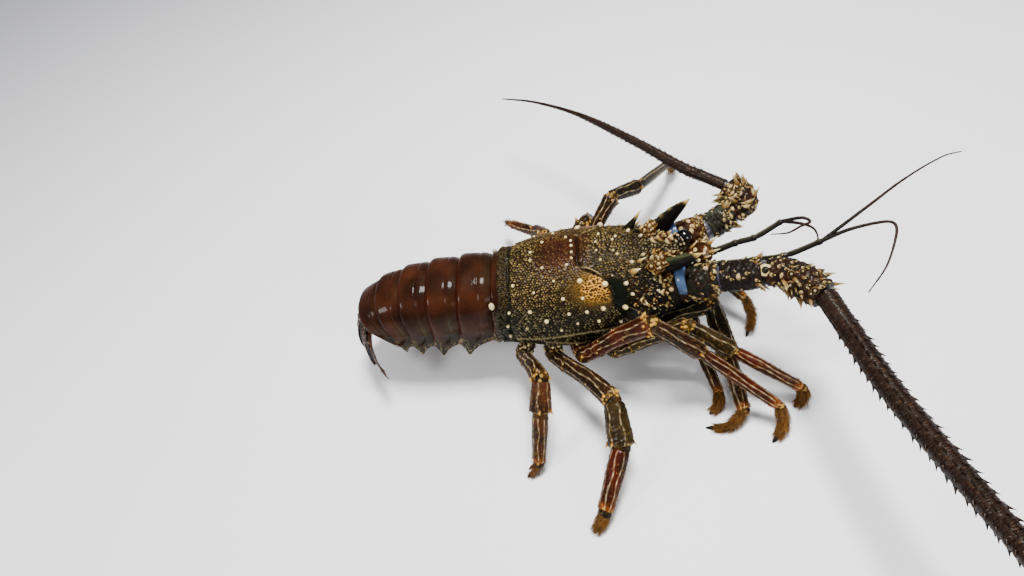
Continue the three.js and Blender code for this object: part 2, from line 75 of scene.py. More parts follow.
def smooth(knots, values, x):
    """The curve through the knots at x: cubic pieces whose slopes are the mean slopes of their two
    sides."""
    knots, values = np.asarray(knots, float), np.asarray(values, float)
    x = np.clip(np.asarray(x, float), knots[0], knots[-1])
    place = np.arange(len(knots))
    before, after = np.maximum(place - 1, 0), np.minimum(place + 1, len(knots) - 1)
    i = np.clip(np.searchsorted(knots, x, side="right") - 1, 0, len(knots) - 2)
    width = knots[i + 1] - knots[i]
    run = knots[after] - knots[before]
    s = (x - knots[i]) / width
    if values.ndim == 2:
        width, s, run = width[..., None], s[..., None], run[:, None]
    slope = (values[after] - values[before]) / run
    rise = values[i] + (values[i + 1] - values[i]) * s * s * (3 - 2 * s)
    return rise + width * s * (1 - s) * ((1 - s) * slope[i] - s * slope[i + 1])


def ramp(low, high, x):
    """0 below low and 1 above high, with a soft S between them."""
    s = np.clip((x - low) / (high - low), 0, 1)
    return s * s * (3 - 2 * s)


def hump(x, middle, width):
    """A bell round the middle, 1 at its top."""
    return np.exp(-(((x - middle) / width) ** 2))


def scatter(i, j, seed):
    """A number from 0 to 1 for each pair of whole numbers: the broken part of a large sine."""
    return np.modf(np.abs(np.sin(i * 12.9898 + j * 78.233 + seed * 37.719) * 43758.5453))[0]


def cells(a, b, seed, loose=0.5, wrap=1e6):
    """The distance from each place to the nearest point of a lattice, and that point's own number from 0
    to 1. The lattice has a point in each unit square, every other row is moved by a half, and each point
    strays a little. Its rows repeat after the wrap, which is an even number."""
    nearest, own = np.full(a.shape, 9.0), np.zeros(a.shape)
    for di, dj in itertools.product((-2, -1, 0, 1), (-1, 0, 1)):
        i, j = np.floor(a) + di, np.floor(b) + dj
        number = scatter(i, np.mod(j, wrap), seed)
        x = i + 0.5 + 0.5 * np.mod(j, 2) + loose * (number - 0.5)
        y = j + 0.5 + loose * (scatter(i, np.mod(j, wrap), seed + 5) - 0.5)
        distance = np.hypot(a - x, b - y)
        nearer = distance < nearest
        nearest, own = np.where(nearer, distance, nearest), np.where(nearer, number, own)
    return nearest, own


def mottle(points, size, seed=0):
    """A soft patchiness from -1 to 1: the mean of sines along six directions picked by the seed."""
    rng = np.random.default_rng(seed)
    waves = rng.normal(size=(6, 3))
    waves /= np.linalg.norm(waves, axis=1)[:, None] * size * rng.uniform(0.12, 0.3, (6, 1))
    return np.sin(points @ waves.T + rng.uniform(0, 6.28, 6)).mean(axis=-1) * 1.8


def paint(red, green, blue):
    """A colour given in screen units from 0 to 255, as linear light."""
    c = np.array([red, green, blue]) / 255
    return np.where(c < 0.04045, c / 12.92, ((c + 0.055) / 1.055) ** 2.4)


def blend(first, second, share):
    """The first colour turning into the second as the share goes from 0 to 1."""
    return first + (second - first) * np.asarray(share)[..., None]


def faces(rows, sides):
    """The quads between neighbouring rings of points, and the triangles that close both ends. The middles
    of the first and the last ring are the two points after those of the rings."""
    grid = np.arange(rows * sides).reshape(rows, sides)
    onward = np.roll(grid, -1, axis=1)
    quads = np.stack([grid[:-1], onward[:-1], onward[1:], grid[1:]], -1).reshape(-1, 4)
    start = np.stack([onward[0], grid[0], np.full(sides, rows * sides)], -1)
    end = np.stack([grid[-1], onward[-1], np.full(sides, rows * sides + 1)], -1)
    return quads, np.concatenate([start, end])


def solid(rings, colours):
    """A closed solid through the rings, with a colour at each point. Its faces are turned to point
    outwards."""
    quads, triangles = faces(*rings.shape[:2])
    points = np.concatenate([rings.reshape(-1, 3), rings[[0, -1]].mean(axis=1)])
    corners = np.concatenate([quads[:, :3], quads[:, [0, 2, 3]], triangles])
    a, b, c = (points[corners[:, k]] for k in range(3))
    if (a * np.cross(b, c)).sum() < 0:
        quads, triangles = quads[:, ::-1], triangles[:, ::-1]
    colours = np.broadcast_to(colours, rings.shape)
    colours = np.concatenate([colours.reshape(-1, 3), colours[[0, -1]].mean(axis=1)])
    return points, quads, triangles, colours, None


def make(name, solids, material, replaces=()):
    """One mesh object from closed solids: their points placed in the frame, their colours as an
    attribute, and where they have one, their place on an unwrap as a UV map."""
    offsets = np.cumsum([0] + [len(s[0]) for s in solids[:-1]])
    points = placed(np.concatenate([s[0] for s in solids]))
    quads, triangles = (np.concatenate([s[k] + o for s, o in zip(solids, offsets)]) for k in (1, 2))
    colours = np.concatenate([s[3] for s in solids])
    loops = np.concatenate([quads.ravel(), triangles.ravel()]).astype(np.int32)
    counts = np.concatenate([np.full(len(quads), 4), np.full(len(triangles), 3)]).astype(np.int32)
    mesh = bpy.data.meshes.new(name)
    mesh.vertices.add(len(points))
    mesh.vertices.foreach_set("co", points.astype(np.float32).ravel())
    mesh.loops.add(len(loops))
    mesh.loops.foreach_set("vertex_index", loops)
    mesh.polygons.add(len(counts))
    mesh.polygons.foreach_set("loop_start", (np.cumsum(counts) - counts).astype(np.int32))
    mesh.polygons.foreach_set("loop_total", counts)
    mesh.polygons.foreach_set("use_smooth", np.ones(len(counts), bool))
    mesh.update(calc_edges=True)
    shade = mesh.color_attributes.new("Colour", "FLOAT_COLOR", "POINT")
    opaque = np.concatenate([colours, np.ones((len(points), 1))], 1)
    shade.data.foreach_set("color", opaque.astype(np.float32).ravel())
    if solids[0][4] is not None:
        unwrap = mesh.uv_layers.new(name="OFBake")
        spots = np.concatenate([s[4] for s in solids])[loops]
        unwrap.data.foreach_set("uv", spots.astype(np.float32).ravel())
    mesh.materials.append(material)
    piece = bpy.data.objects.new(name, mesh)
    bpy.context.collection.objects.link(piece)
    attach(piece, "root")
    if replaces:
        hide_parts(*replaces)
    return piece


DEEPENING = 1.62
RICHNESS = 1.02
COAT_ROUGHNESS = 0.1
WARM_TINT = (1.0, 0.88, 0.68, 1)
BUMP_STRENGTH = 0.6


def finish(name, roughness, coat, patch, grain, relief, lightness=(0.72, 1.25), gloss=0.13):
    """A shell's surface: the piece's own Colour, deepened, and lighter and darker in patches of the given
    size in metres, with a fine bump of the given grain and height, a thin wet coat and a weak warm
    reflection."""
    material = bpy.data.materials.new(name)
    material.use_nodes = True
    nodes, links = material.node_tree.nodes, material.node_tree.links
    shader = nodes["Principled BSDF"]
    shader.inputs["Coat Weight"].default_value = coat
    shader.inputs["Coat Roughness"].default_value = COAT_ROUGHNESS
    shader.inputs["Specular IOR Level"].default_value = gloss
    shader.inputs["Specular Tint"].default_value = WARM_TINT
    place = nodes.new("ShaderNodeTexCoord")
    colour = nodes.new("ShaderNodeAttribute")
    colour.attribute_name = "Colour"

    def add(kind, socket, source, constants, output):
        """A node of this kind with one link into a socket and constants on others: the node and its
        output."""
        node = nodes.new(kind)
        links.new(source, node.inputs[socket])
        for name, value in constants.items():
            node.inputs[name].default_value = value
        return node, node.outputs[output]

    def noise(size, detail):
        """Soft clouds of this size, from 0 to 1."""
        constants = {"Scale": 1 / size, "Detail": detail}
        return add("ShaderNodeTexNoise", "Vector", place.outputs["Object"], constants, "Fac")[1]

    def spread(value, low, high):
        """The noise's middle range, stretched to run from low to high."""
        constants = {"From Min": 0.3, "From Max": 0.7, "To Min": low, "To Max": high}
        return add("ShaderNodeMapRange", "Value", value, constants, "Result")[1]

    deep = add("ShaderNodeGamma", "Color", colour.outputs["Color"], {"Gamma": DEEPENING}, "Color")[1]
    tone, rich = add("ShaderNodeHueSaturation", "Color", deep, {"Saturation": RICHNESS}, "Color")
    links.new(spread(noise(patch, 5), *lightness), tone.inputs["Value"])
    links.new(rich, shader.inputs["Base Color"])
    links.new(spread(noise(patch * 0.4, 3), roughness * 0.75, roughness * 1.3), shader.inputs["Roughness"])
    height = {"Strength": BUMP_STRENGTH, "Distance": relief}
    links.new(add("ShaderNodeBump", "Height", noise(grain, 4), height, "Normal")[1], shader.inputs["Normal"])
    return material


def carapace_surface(u, v):
    """The shield without its granules. u runs from the rear edge to the front, and v from the right lower
    edge over the back to the left one. Across, it is a superellipse down to the shoulder and straight
    below it. Its lower rear corners are drawn back."""
    width = smooth(*WIDTH_PROFILE, u) * CARAPACE_HALF_WIDTH
    top = smooth(*TOP_PROFILE, u) * CARAPACE_HEIGHT + BELLY_HEIGHT
    edge = smooth(*EDGE_PROFILE, u) * CARAPACE_HEIGHT + BELLY_HEIGHT
    middle = edge + SHOULDER * (top - edge)
    sine, cosine = np.sin(v * ARCH_TURN), np.cos(v * ARCH_TURN)
    y = width * np.sign(sine) * np.abs(sine) ** (2 / ARCH_POWER)
    arch = middle + (top - middle) * np.abs(cosine) ** (2 / ARCH_POWER)
    wall = middle - (middle - edge) * cosine / np.cos(ARCH_TURN)
    corner = REAR_CORNER * ramp(0.45, 0.85, np.abs(v)) * ramp(0.14, -0.02, u)
    return np.stack([u * CARAPACE_LENGTH - corner, y, np.where(cosine >= 0, arch, wall)], -1)


def outward(points):
    """The unit normals of a grid of points, from the cross product of its two directions."""
    normal = np.cross(np.gradient(points, axis=0), np.gradient(points, axis=1))
    return normal / np.maximum(np.linalg.norm(normal, axis=-1, keepdims=True), 1e-9)


REAR_MARGIN = 0.036
GRANULE_PITCH = 1.86
GRANULE_HEIGHT = 0.55
ARC_HALF = 76.0
GROOVE_DEPTH = 1.5
RIM_PLACE = 3.4
PATCH_PLACE = (0.53, 0.425)
PATCH_HALF = (0.095, 0.145)
SEAM = ([0, 0.4, 0.7, 1], [0.965, 0.9, 0.89, 0.8])
SHELL_DARK = paint(58, 46, 22)
SHELL_FLANK = paint(42, 38, 22)
SHELL_RED = paint(80, 44, 22)
SHELL_GREEN = paint(28, 42, 26)
SHELL_FRONT = paint(30, 22, 18)
GRANULE_OCHRE = paint(196, 176, 128)
GRANULE_OLIVE = paint(158, 144, 98)
GRANULE_PALE = paint(196, 190, 160)
PATCH_ORANGE = paint(208, 168, 104)
EDGE_CREAM = paint(186, 176, 142)
UNDER_BROWN = paint(92, 70, 48)
# Thin pale seams of one side, as places along the shield and down from the midline
PALE_LINES = [
    [(0.432, 0.185), (0.471, 0.195), (0.514, 0.225), (0.55, 0.272), (0.579, 0.333)],
    [(0.689, 0.708), (0.721, 0.76), (0.752, 0.833), (0.766, 0.873)],
    [(0.186, 0.972), (0.3, 0.976), (0.421, 0.985)],
]


def carapace_skin(u, v):
    """Height in millimetres and colour over the shield: granules on a lattice, the groove, and the marked
    zones."""
    side = np.abs(v)
    length, arc, arc_side = u * CARAPACE_LENGTH, v * ARC_HALF, side * ARC_HALF
    groove = (u - smooth(*GROOVE, side)) * CARAPACE_LENGTH
    away, own = cells(length / GRANULE_PITCH, arc / GRANULE_PITCH, 1, loose=0.6)
    band = ramp(0.6, 1.6, groove) * ramp(11, 7, groove) * ramp(0.3, 0.42, side) * ramp(0.95, 0.8, side)
    crown = hump(side, 0.05, 0.2) * ramp(0.16, 0.26, u) * ramp(0.56, 0.42, u)
    rough = (0.75 + 0.5 * own) * (1 - 0.85 * band) * (1 - 0.55 * crown)
    coarse = ramp(0.55, 0.7, side) * ramp(0.3, 0.12, u)
    dome = np.sqrt(np.clip(1 - (away / 0.5) ** 2, 0, 1))
    patch = mottle(carapace_surface(u, v), 22, 3)
    orange = hump(u, PATCH_PLACE[0], PATCH_HALF[0]) * hump(side, PATCH_PLACE[1], PATCH_HALF[1])
    orange = orange * np.where(v < 0, 1, 0.35)
    orange = np.clip(orange * 1.7 + 0.3 * patch * orange, 0, 1) * ramp(0.3, -1.2, groove)
    rim = length - RIM_PLACE
    seam = (side - smooth(*SEAM, u)) * ARC_HALF
    height = GRANULE_HEIGHT * dome * rough * (1 + 0.5 * coarse) * (1 - 1.6 * orange)
    height -= GROOVE_DEPTH * hump(groove, 0, 1.5) * ramp(0.98, 0.85, side)
    height += 0.7 * hump(groove, -3, 2.2) * ramp(0.3, 0.4, side) * ramp(0.8, 0.7, side)
    height += 0.5 * hump(length, -2.6, 1.2) - 1.3 * hump(rim, 0, 1.1)
    height += 0.5 * hump(seam, 0, 0.7) - 0.6 * hump(seam, 2.2, 1.2)

    golden = ramp(0.42, 0.16, u + 0.05 * patch) * ramp(0.75, 0.55, side)
    flank = ramp(0.5, 0.72, side + 0.05 * patch)
    front = ramp(0.72, 0.9, u)
    ahead = ramp(-1, 4, groove) * ramp(0.2, 0.4, side)
    ground = blend(SHELL_DARK, SHELL_FLANK, flank)
    ground = blend(ground, SHELL_RED, np.clip(crown + 0.25 * patch * crown, 0, 1))
    ground = blend(ground, SHELL_FRONT, front) * (1 - 0.35 * ahead)[..., None]
    tips = blend(GRANULE_OLIVE, GRANULE_OCHRE, np.clip(golden + 0.35 + 0.4 * patch, 0, 1))
    tips = blend(tips, GRANULE_PALE, np.clip(0.5 * flank * (own > 0.5) + 0.6 * front * (own > 0.75), 0, 1))
    tips = blend(tips, EDGE_CREAM, 0.7 * coarse)
    shown = ramp(0.34 + 0.16 * own, 0.1, away) * (0.25 + 0.75 * own) * (1 - 0.8 * band) * (1 - 0.6 * crown)
    shown *= 1 - 0.7 * ahead * (own < 0.8)
    shown *= (1 - 0.6 * ramp(6, 3, length)) * (1 - 0.2 * flank * (1 - coarse))
    net = blend(SHELL_DARK * 0.7, PATCH_ORANGE, ramp(0.2 + 0.2 * own, 0.4 + 0.16 * own, away))
    colour = blend(blend(blend(ground, tips, shown), net, orange), SHELL_GREEN, band)
    for mark in PALE_LINES:
        trail = smooth(np.linspace(0, 1, len(mark)), mark, np.linspace(0, 1, 48))
        gap = np.full(u.shape, 99.0)
        for at, down in trail:
            gap = np.minimum(gap, np.hypot(length - at * CARAPACE_LENGTH, arc_side - down * ARC_HALF))
        height += 0.25 * hump(gap, 0, 0.5)
        colour = blend(colour, EDGE_CREAM, 0.85 * hump(gap, 0, 0.42))
    colour = blend(colour, EDGE_CREAM, 0.9 * hump(seam, 0, 0.45) * ramp(0.0, 0.03, u) * ramp(0.72, 0.6, u))
    # Painted shade: the bottom of the groove is darkened towards half the dark shell colour.
    colour = blend(colour, SHELL_DARK * 0.5, 0.8 * hump(groove, 0, 0.9) * ramp(0.98, 0.85, side))
    return height, blend(colour, SHELL_GREEN, 0.75 * hump(rim, 0, 1.1))


def carapace_solid():
    """The shield's outer surface, closed under the belly by a shallow vault."""
    rows, arch, vault = 280, 316, 10
    u, v = np.meshgrid(np.linspace(-REAR_MARGIN, 1, rows), np.linspace(-1, 1, arch), indexing="ij")
    base = carapace_surface(u, v)
    height, colour = carapace_skin(u, v)
    settle = ramp(0, 0.012, u + REAR_MARGIN) * ramp(1, 0.988, u) * ramp(1, 0.99, np.abs(v))
    outer = base + outward(base) * ((height - 0.3) * settle)[..., None]
    share = np.linspace(0, 1, vault + 2)[1:-1]
    under = outer[:, -1:] + (outer[:, :1] - outer[:, -1:]) * share[:, None]
    under[..., 2] += 2.5 * np.sin(np.pi * share)
    shade = np.broadcast_to(UNDER_BROWN, under.shape)
    return solid(np.concatenate([outer, under], 1), np.concatenate([colour, shade], 1))


SHELL_FINISH = finish("shell", 0.52, 0.08, 0.012, 0.0009, 0.0004, gloss=0.07)
make("carapace_shield", [carapace_solid()], SHELL_FINISH, ["carapace"])


# Knobs and spines: what stands out of the shell over its granules. Each is a cone or a low dome of the
# same shell, often with a pale ring at its root and a yellow or white tip.
SPINE_PROFILE = [(-0.2, 1.0), (0.0, 1.0), (0.22, 0.72), (0.5, 0.44), (0.8, 0.2)]
KNOB_PROFILE = [(-0.6, 1.0), (0.0, 1.0), (0.5, 0.88), (0.82, 0.55)]
CREAM = paint(236, 224, 190)
YELLOW = paint(222, 202, 142)
HORN_DARK = paint(30, 20, 24)
HORN_GREEN = paint(34, 40, 24)


def unit(vectors):
    """The vectors divided by their lengths."""
    return vectors / np.linalg.norm(vectors, axis=-1, keepdims=True)


def circle(sides):
    """The angles of this many places evenly round a circle."""
    return np.arange(sides) * 2 * np.pi / sides


def studs(bases, tips, radii, profile, colours, sides=7):
    """Many small cones at once. A cone's rings stand at shares of the way from its base to its tip, each
    with a share of its radius. Its colours are those of the root, the middle and the tip."""
    bases, tips, radii = np.asarray(bases, float), np.asarray(tips, float), np.asarray(radii, float)
    count = len(bases)
    axis = tips - bases
    straight = unit(axis)
    helper = np.where(np.abs(straight[:, 2:]) < 0.8, [[0, 0, 1.0]], [[1.0, 0, 0]])
    across = unit(np.cross(straight, helper))
    over = np.cross(across, straight)
    shares, widths = np.array(profile).T
    turn = circle(sides)[:, None]
    spokes = across[:, None] * np.cos(turn) + over[:, None] * np.sin(turn)
    centres = bases[:, None] + axis[:, None] * shares[:, None]
    points = centres[:, :, None] + spokes[:, None] * (radii[:, None] * widths)[..., None, None]
    points = np.concatenate([points.reshape(count, -1, 3), centres[:, :1], tips[:, None]], 1)
    quads, triangles = faces(len(profile), sides)
    steps = (np.arange(count) * points.shape[1])[:, None, None]
    root, middle, tip = (np.broadcast_to(c, (count, 3))[:, None] for c in colours)
    along = np.concatenate([np.repeat(shares, sides), [shares[0], 1.0]])
    shade = blend(blend(root, middle, ramp(0.1, 0.35, along)), tip, ramp(0.45, 0.85, along))
    return (points.reshape(-1, 3), (quads + steps).reshape(-1, 4), (triangles + steps).reshape(-1, 3),
            shade.reshape(-1, 3), None)


def carapace_place(u, v):
    """Points on the shield and its outward normals, for single places."""
    step = 1e-3
    point = carapace_surface(u, v)
    ahead = carapace_surface(u + step, v) - point
    aside = carapace_surface(u, v + step) - point
    return point, unit(np.cross(ahead, aside))


# Each knob of one side: its place along the shield, its place from the midline to the lower edge, its
# radius, and how far it stands out over that radius
KNOBS = np.array([
    (0.693, 0.425, 1.5, 1.0), (0.580, 0.395, 2.2, 0.9), (0.445, 0.330, 1.9, 0.9), (0.450, 0.510, 1.2, 1.0),
    (0.341, 0.495, 1.4, 1.0), (0.554, 0.655, 1.8, 1.1), (0.462, 0.667, 1.4, 1.1), (0.362, 0.670, 1.3, 1.0),
    (0.673, 0.698, 1.8, 1.2), (0.782, 0.725, 1.5, 1.3), (0.227, 0.745, 1.7, 1.1), (0.141, 0.623, 1.5, 1.0),
    (0.104, 0.853, 1.3, 1.1), (0.030, 0.645, 1.1, 1.0), (0.016, 0.930, 1.4, 1.2), (0.022, 0.840, 1.2, 1.2),
    (0.662, 0.098, 1.0, 1.2), (0.643, 0.055, 0.9, 1.2), (0.550, 0.040, 0.9, 1.1), (0.411, 0.030, 1.1, 1.0),
    (0.409, 0.090, 1.0, 1.0), (0.380, 0.152, 1.1, 1.0), (0.568, 0.142, 1.0, 1.2), (0.170, 0.040, 1.1, 1.0),
    (0.239, 0.147, 1.2, 0.9), (0.060, 0.300, 1.3, 0.9), (0.180, 0.400, 1.0, 1.0), (0.300, 0.300, 1.0, 1.0),
    (0.520, 0.800, 1.3, 1.2), (0.400, 0.800, 1.1, 1.2), (0.300, 0.860, 1.2, 1.2), (0.720, 0.560, 1.2, 1.3),
    (0.860, 0.600, 0.9, 1.1), (0.905, 0.700, 0.9, 1.1), (0.830, 0.850, 1.0, 1.1), (0.640, 0.860, 1.2, 1.2),
    (0.870, 0.080, 1.5, 1.2), (0.955, 0.180, 1.8, 1.3), (0.800, 0.120, 1.2, 1.2), (0.735, 0.200, 1.3, 1.2),
])
# Each larger spine of the left side: its root and tip, its radius at the root, and the length of its twin
# on the right for 1 of its own
GREAT_SPINES = [
    ((82, 18, 84), (93, 23.5, 96.5), 3.6, 0.5), ((68, 20, 84.5), (72, 22, 89), 2.2, 0.7),
    ((94, 24, 70), (107, 31.5, 76.5), 3.6, 0.35), ((82, 27, 70), (92.5, 37, 73.5), 3.1, 0.35),
    ((86, 12, 86), (93, 13, 92), 2.2, 0.8), ((98, 10, 82), (104, 10.5, 87.5), 2.2, 0.8),
]
BLOB_ORANGE = paint(150, 104, 60)
BLOB_OCHRE = paint(192, 164, 112)
BLOB_CREAM = paint(226, 212, 172)
RING_PROFILE = [(-0.3, 1.0), (0.15, 1.05), (0.32, 0.84), (0.38, 0.5), (0.65, 0.32), (0.88, 0.14)]
# Each ringed spine of one side: its place along the shield, its place down from the midline, and its
# root's radius
RINGED = np.array([
    (0.875, 0.080, 2.0), (0.911, 0.135, 2.4), (0.945, 0.230, 2.6), (0.889, 0.232, 2.1), (0.921, 0.343, 2.3),
    (0.855, 0.345, 1.6), (0.889, 0.473, 1.8), (0.930, 0.570, 2.2), (0.815, 0.615, 0.9), (0.893, 0.660, 1.8),
    (0.936, 0.800, 2.0), (0.971, 0.370, 2.4), (0.977, 0.240, 2.2), (0.912, 0.882, 1.8), (0.775, 0.675, 1.6),
    (0.811, 0.785, 1.2), (0.734, 0.712, 1.2), (0.752, 0.833, 1.2), (0.839, 0.732, 1.1), (0.965, 0.480, 2.1),
    (0.972, 0.680, 2.2), (0.930, 0.450, 1.7), (0.955, 0.100, 2.0), (0.860, 0.150, 1.5), (0.905, 0.560, 1.6),
])


def both_sides(table):
    """The columns of a table of one side's places, for the right side and then the left: along the
    shield, across it from the midline, and the rest."""
    along, across, *rest = np.tile(table.T, 2)
    return along, across * np.repeat([-1, 1], len(table)), *rest


def carapace_studs():
    """The knobs of both sides, a stand of small spines that thickens towards the front, the ringed
    spines, and the great ones."""
    rng = np.random.default_rng(11)
    u, v, radius, rise = both_sides(KNOBS)
    point, normal = carapace_place(u, v)
    forward = np.array([1.0, 0, 0]) * (0.35 + 0.6 * ramp(0.55, 0.9, u))[:, None]
    tip = point + (normal + forward) * (radius * rise)[:, None]
    tops = blend(CREAM, YELLOW, rng.uniform(0, 0.5, len(u)))
    knobs = studs(point - normal * 0.3, tip, radius * 0.9, KNOB_PROFILE, (tops * 0.55, tops * 0.9, tops), 12)

    u = 0.6 + 0.39 * np.sqrt(rng.uniform(0, 1, 110))
    v = rng.uniform(0.06, 0.93, 110) * rng.choice([-1, 1], 110)
    clear = np.abs((u - smooth(*GROOVE, np.abs(v))) * CARAPACE_LENGTH - 5) > 5.5
    u, v = u[clear], v[clear]
    point, normal = carapace_place(u, v)
    size = rng.uniform(0.6, 1.3, len(u)) * (0.6 + 0.7 * ramp(0.7, 0.95, u))
    tip = point + (normal * 0.7 + [0.9, 0, 0.1]) * (size * 2.1)[:, None]
    tops = blend(BLOB_CREAM, BLOB_OCHRE, rng.uniform(0, 1, len(u)))
    small = studs(point, tip, size, SPINE_PROFILE, (BLOB_ORANGE * 0.5, SHELL_FRONT * 1.5, tops))

    u, v, radius = both_sides(RINGED)
    point, normal = carapace_place(u, v)
    size = radius * 1.15
    tip = point + (normal + [0.75, 0, 0.1]) * (size * 1.2)[:, None]
    ring = blend(BLOB_CREAM, BLOB_OCHRE, rng.uniform(0, 1, len(u)))
    parts = [knobs, small, studs(point, tip, size, RING_PROFILE, (ring, BLOB_ORANGE * 0.35, ring), sides=14)]

    bases, tips, radii, twin = (np.array([s[k] for s in GREAT_SPINES]) for k in range(4))
    near_bases, near_tips = bases * [1, -1, 1], (bases + (tips - bases) * twin[:, None]) * [1, -1, 1]
    near_shades = (BLOB_ORANGE * 0.6, YELLOW * 0.8, CREAM)
    parts.append(studs(near_bases, near_tips, radii * 0.8, SPINE_PROFILE, near_shades, 12))
    parts.append(studs(bases, tips, radii, SPINE_PROFILE, (HORN_GREEN, HORN_DARK, YELLOW), 12))
    return parts


make("carapace_spines", carapace_studs(), SHELL_FINISH)


# Frontal horns: two tall horns that rise forward over the eyes and lean apart. They are flat from side to
# side, with a row of teeth down the back edge, dark purple with a yellow tip.
HORN_PATH = [[90, 13, 76], [103, 17, 85], [113, 20.5, 93], [122.5, 23, 100]]
HORN_FLATNESS = 0.6
HORN_TEETH = 6.5
HORN_GREY = paint(104, 112, 84)


def curve(points, shares):
    """Places on the smooth curve through the points, at these shares of its length. The knots are spaced
    by the square root of the steps between the points, so that short steps make no loops."""
    points = np.asarray(points, float)
    knots = np.concatenate([[0], np.cumsum(np.sqrt(np.linalg.norm(np.diff(points, axis=0), axis=1)))])
    fine = np.linspace(0, knots[-1], 600)
    steps = np.linalg.norm(np.diff(smooth(knots, points, fine), axis=0), axis=1)
    run = np.concatenate([[0], np.cumsum(steps)])
    return smooth(knots, points, np.interp(shares, run / run[-1], fine))


def sweep(line, radii, up=(0, 0, 1), flatness=1.0):
    """Rings of points round a line. At each turn a point is out from the line by the radius, which is
    less by the flatness along the up side than across it. The last axis of radii runs once round."""
    along = unit(np.gradient(line, axis=0))
    across = unit(np.cross(along, up))
    over = np.cross(across, along)
    turn = circle(radii.shape[1])
    flat = np.broadcast_to(flatness, len(line))[:, None]
    sideways = across[:, None] * (radii * np.cos(turn))[..., None]
    return line[:, None] + sideways + over[:, None] * (radii * flat * np.sin(turn))[..., None]


def thorns(rings, count, seed, length, lean, colours, rows=(0.1, 1.0), radius=0.3, sides=7,
           profile=SPINE_PROFILE, facing=None):
    """Spines that stand on a swept surface. Each takes a random place on the rings, points away from
    their middle and leans along the sweep, and is as long as the given least and most."""
    rng = np.random.default_rng(seed)
    number, columns = rings.shape[:2]
    row = (rng.uniform(*rows, count) * (number - 2)).astype(int)
    column = rng.integers(0, columns, count)
    middle = rings.mean(axis=1)
    along = unit(np.gradient(middle, axis=0))
    out = unit(rings[row, column] - middle[row])
    if facing is not None:
        keep = out @ np.array(facing) > -0.2
        row, column, out = row[keep], column[keep], out[keep]
    size = rng.uniform(*length, len(row))
    way = unit(out + along[row] * lean)
    base = rings[row, column] - out * 0.25
    return studs(base, base + way * size[:, None], size * radius + 0.15, profile, colours, sides)


def horn(side):
    """A tapering blade with a saw edge: the radius has teeth where the turn faces up and back."""
    share, turn = np.linspace(0, 1, 90), circle(36)
    radius = smooth([0, 0.3, 0.6, 0.85, 1], [7.4, 6.6, 5.2, 2.9, 0.35], share)
    teeth = np.abs(np.sin(share * np.pi * HORN_TEETH))[:, None]
    back = np.clip(np.cos(turn), 0, 1)
    radii = radius[:, None] * (1 + 0.16 * teeth ** 0.7 * back ** 6 * ramp(1, 0.8, share)[:, None])
    rings = sweep(curve(np.array(HORN_PATH) * [1, side, 1], share), radii, (0, 1, 0), HORN_FLATNESS)
    tone = blend(HORN_GREEN if side < 0 else HORN_DARK, HORN_DARK, ramp(0.1, 0.5, share))
    tone = blend(tone, YELLOW, ramp(0.86, 0.96, share))[:, None]
    tone = blend(tone, YELLOW, (0.45 if side > 0 else 0.1) * back ** 10 * teeth ** 3)
    rim = np.abs(np.cos(turn)) ** 4 * (0.1 if side > 0 else 0.75) * ramp(0.95, 0.8, share)[:, None]
    blade = solid(rings, blend(tone, HORN_GREY, rim))
    rows = (0, 0.4 if side > 0 else 0.52)
    ringed = (BLOB_OCHRE, BLOB_ORANGE * 0.35, BLOB_CREAM)
    plain = (BLOB_ORANGE, BLOB_ORANGE * 0.5, BLOB_OCHRE)
    return [blade, thorns(rings, 24, 14, (2.8, 5.0), 0.6, ringed, rows, 0.52, 14, RING_PROFILE),
            thorns(rings, 16, 15, (1.4, 2.6), 0.7, plain, rows, 0.5)]


make("frontal_horns", horn(-1) + horn(1), SHELL_FINISH)

# Eyes: round and black, each on a short thick stalk that comes out under its horn. The cornea is smooth
# and very glossy, with a pale lumpy collar where the stalk meets it.
EYE_AT = (117.3, 10.5, 79.0)
EYE_RADIUS = 5.3
EYE_BLACK = paint(13, 10, 10)
EYE_BROWN = paint(58, 30, 20)
STALK_BROWN = paint(46, 32, 26)


def eye(side):
    """A ball whose radius along its axis follows a circle, turned outwards and up, browner towards the
    stalk."""
    axis = unit(np.array([0.72, 0.5 * side, 0.42]))
    angle = np.linspace(0.02, np.pi - 0.02, 40)
    line = np.array(EYE_AT) * [1, side, 1] + axis * (-np.cos(angle) * EYE_RADIUS)[:, None]
    rings = sweep(line, np.repeat((np.sin(angle) * EYE_RADIUS)[:, None], 48, 1))
    return solid(rings, blend(EYE_BROWN, EYE_BLACK, ramp(0.1, 0.55, angle / np.pi))[:, None])


def eyestalk(side):
    """A short lumpy stem that widens into the collar round the ball."""
    share = np.linspace(0, 1, 30)
    path = np.array([[106, 7, 74.5], [110.5, 8, 76.2], [116, 9.9, 78.5]]) * [1, side, 1]
    radius = smooth([0, 0.5, 0.85, 1], [4.6, 4.4, 5.5, 4.6], share)
    turn = np.arange(40) / 40
    away, own = cells(*np.meshgrid(share * 5, turn * 10, indexing="ij"), 4, wrap=10)
    rings = sweep(curve(path, share), radius[:, None] * (1 + 0.1 * ramp(0.5, 0.1, away)))
    return solid(rings, blend(STALK_BROWN, CREAM * 0.8, ramp(0.42, 0.2, away) * (own > 0.45)))


EYE_FINISH = finish("eye", 0.12, 0.7, 0.02, 0.0002, 0.00002, (0.9, 1.1))
for side, word in ((-1, "right"), (1, "left")):
    make("eyeball_" + word, [eye(side)], EYE_FINISH, ["eye_" + word])
    make("eyestalk_" + word, [eyestalk(side)], SHELL_FINISH)

# Antennular plate: the bridge between the two antennae, marbled orange and brown, with two pairs of pale
# spines that stand in a V, and a few lesser ones round them.
PLATE_PATH = [[109, 0, 65.5], [122, 0, 72], [133, 0, 76]]
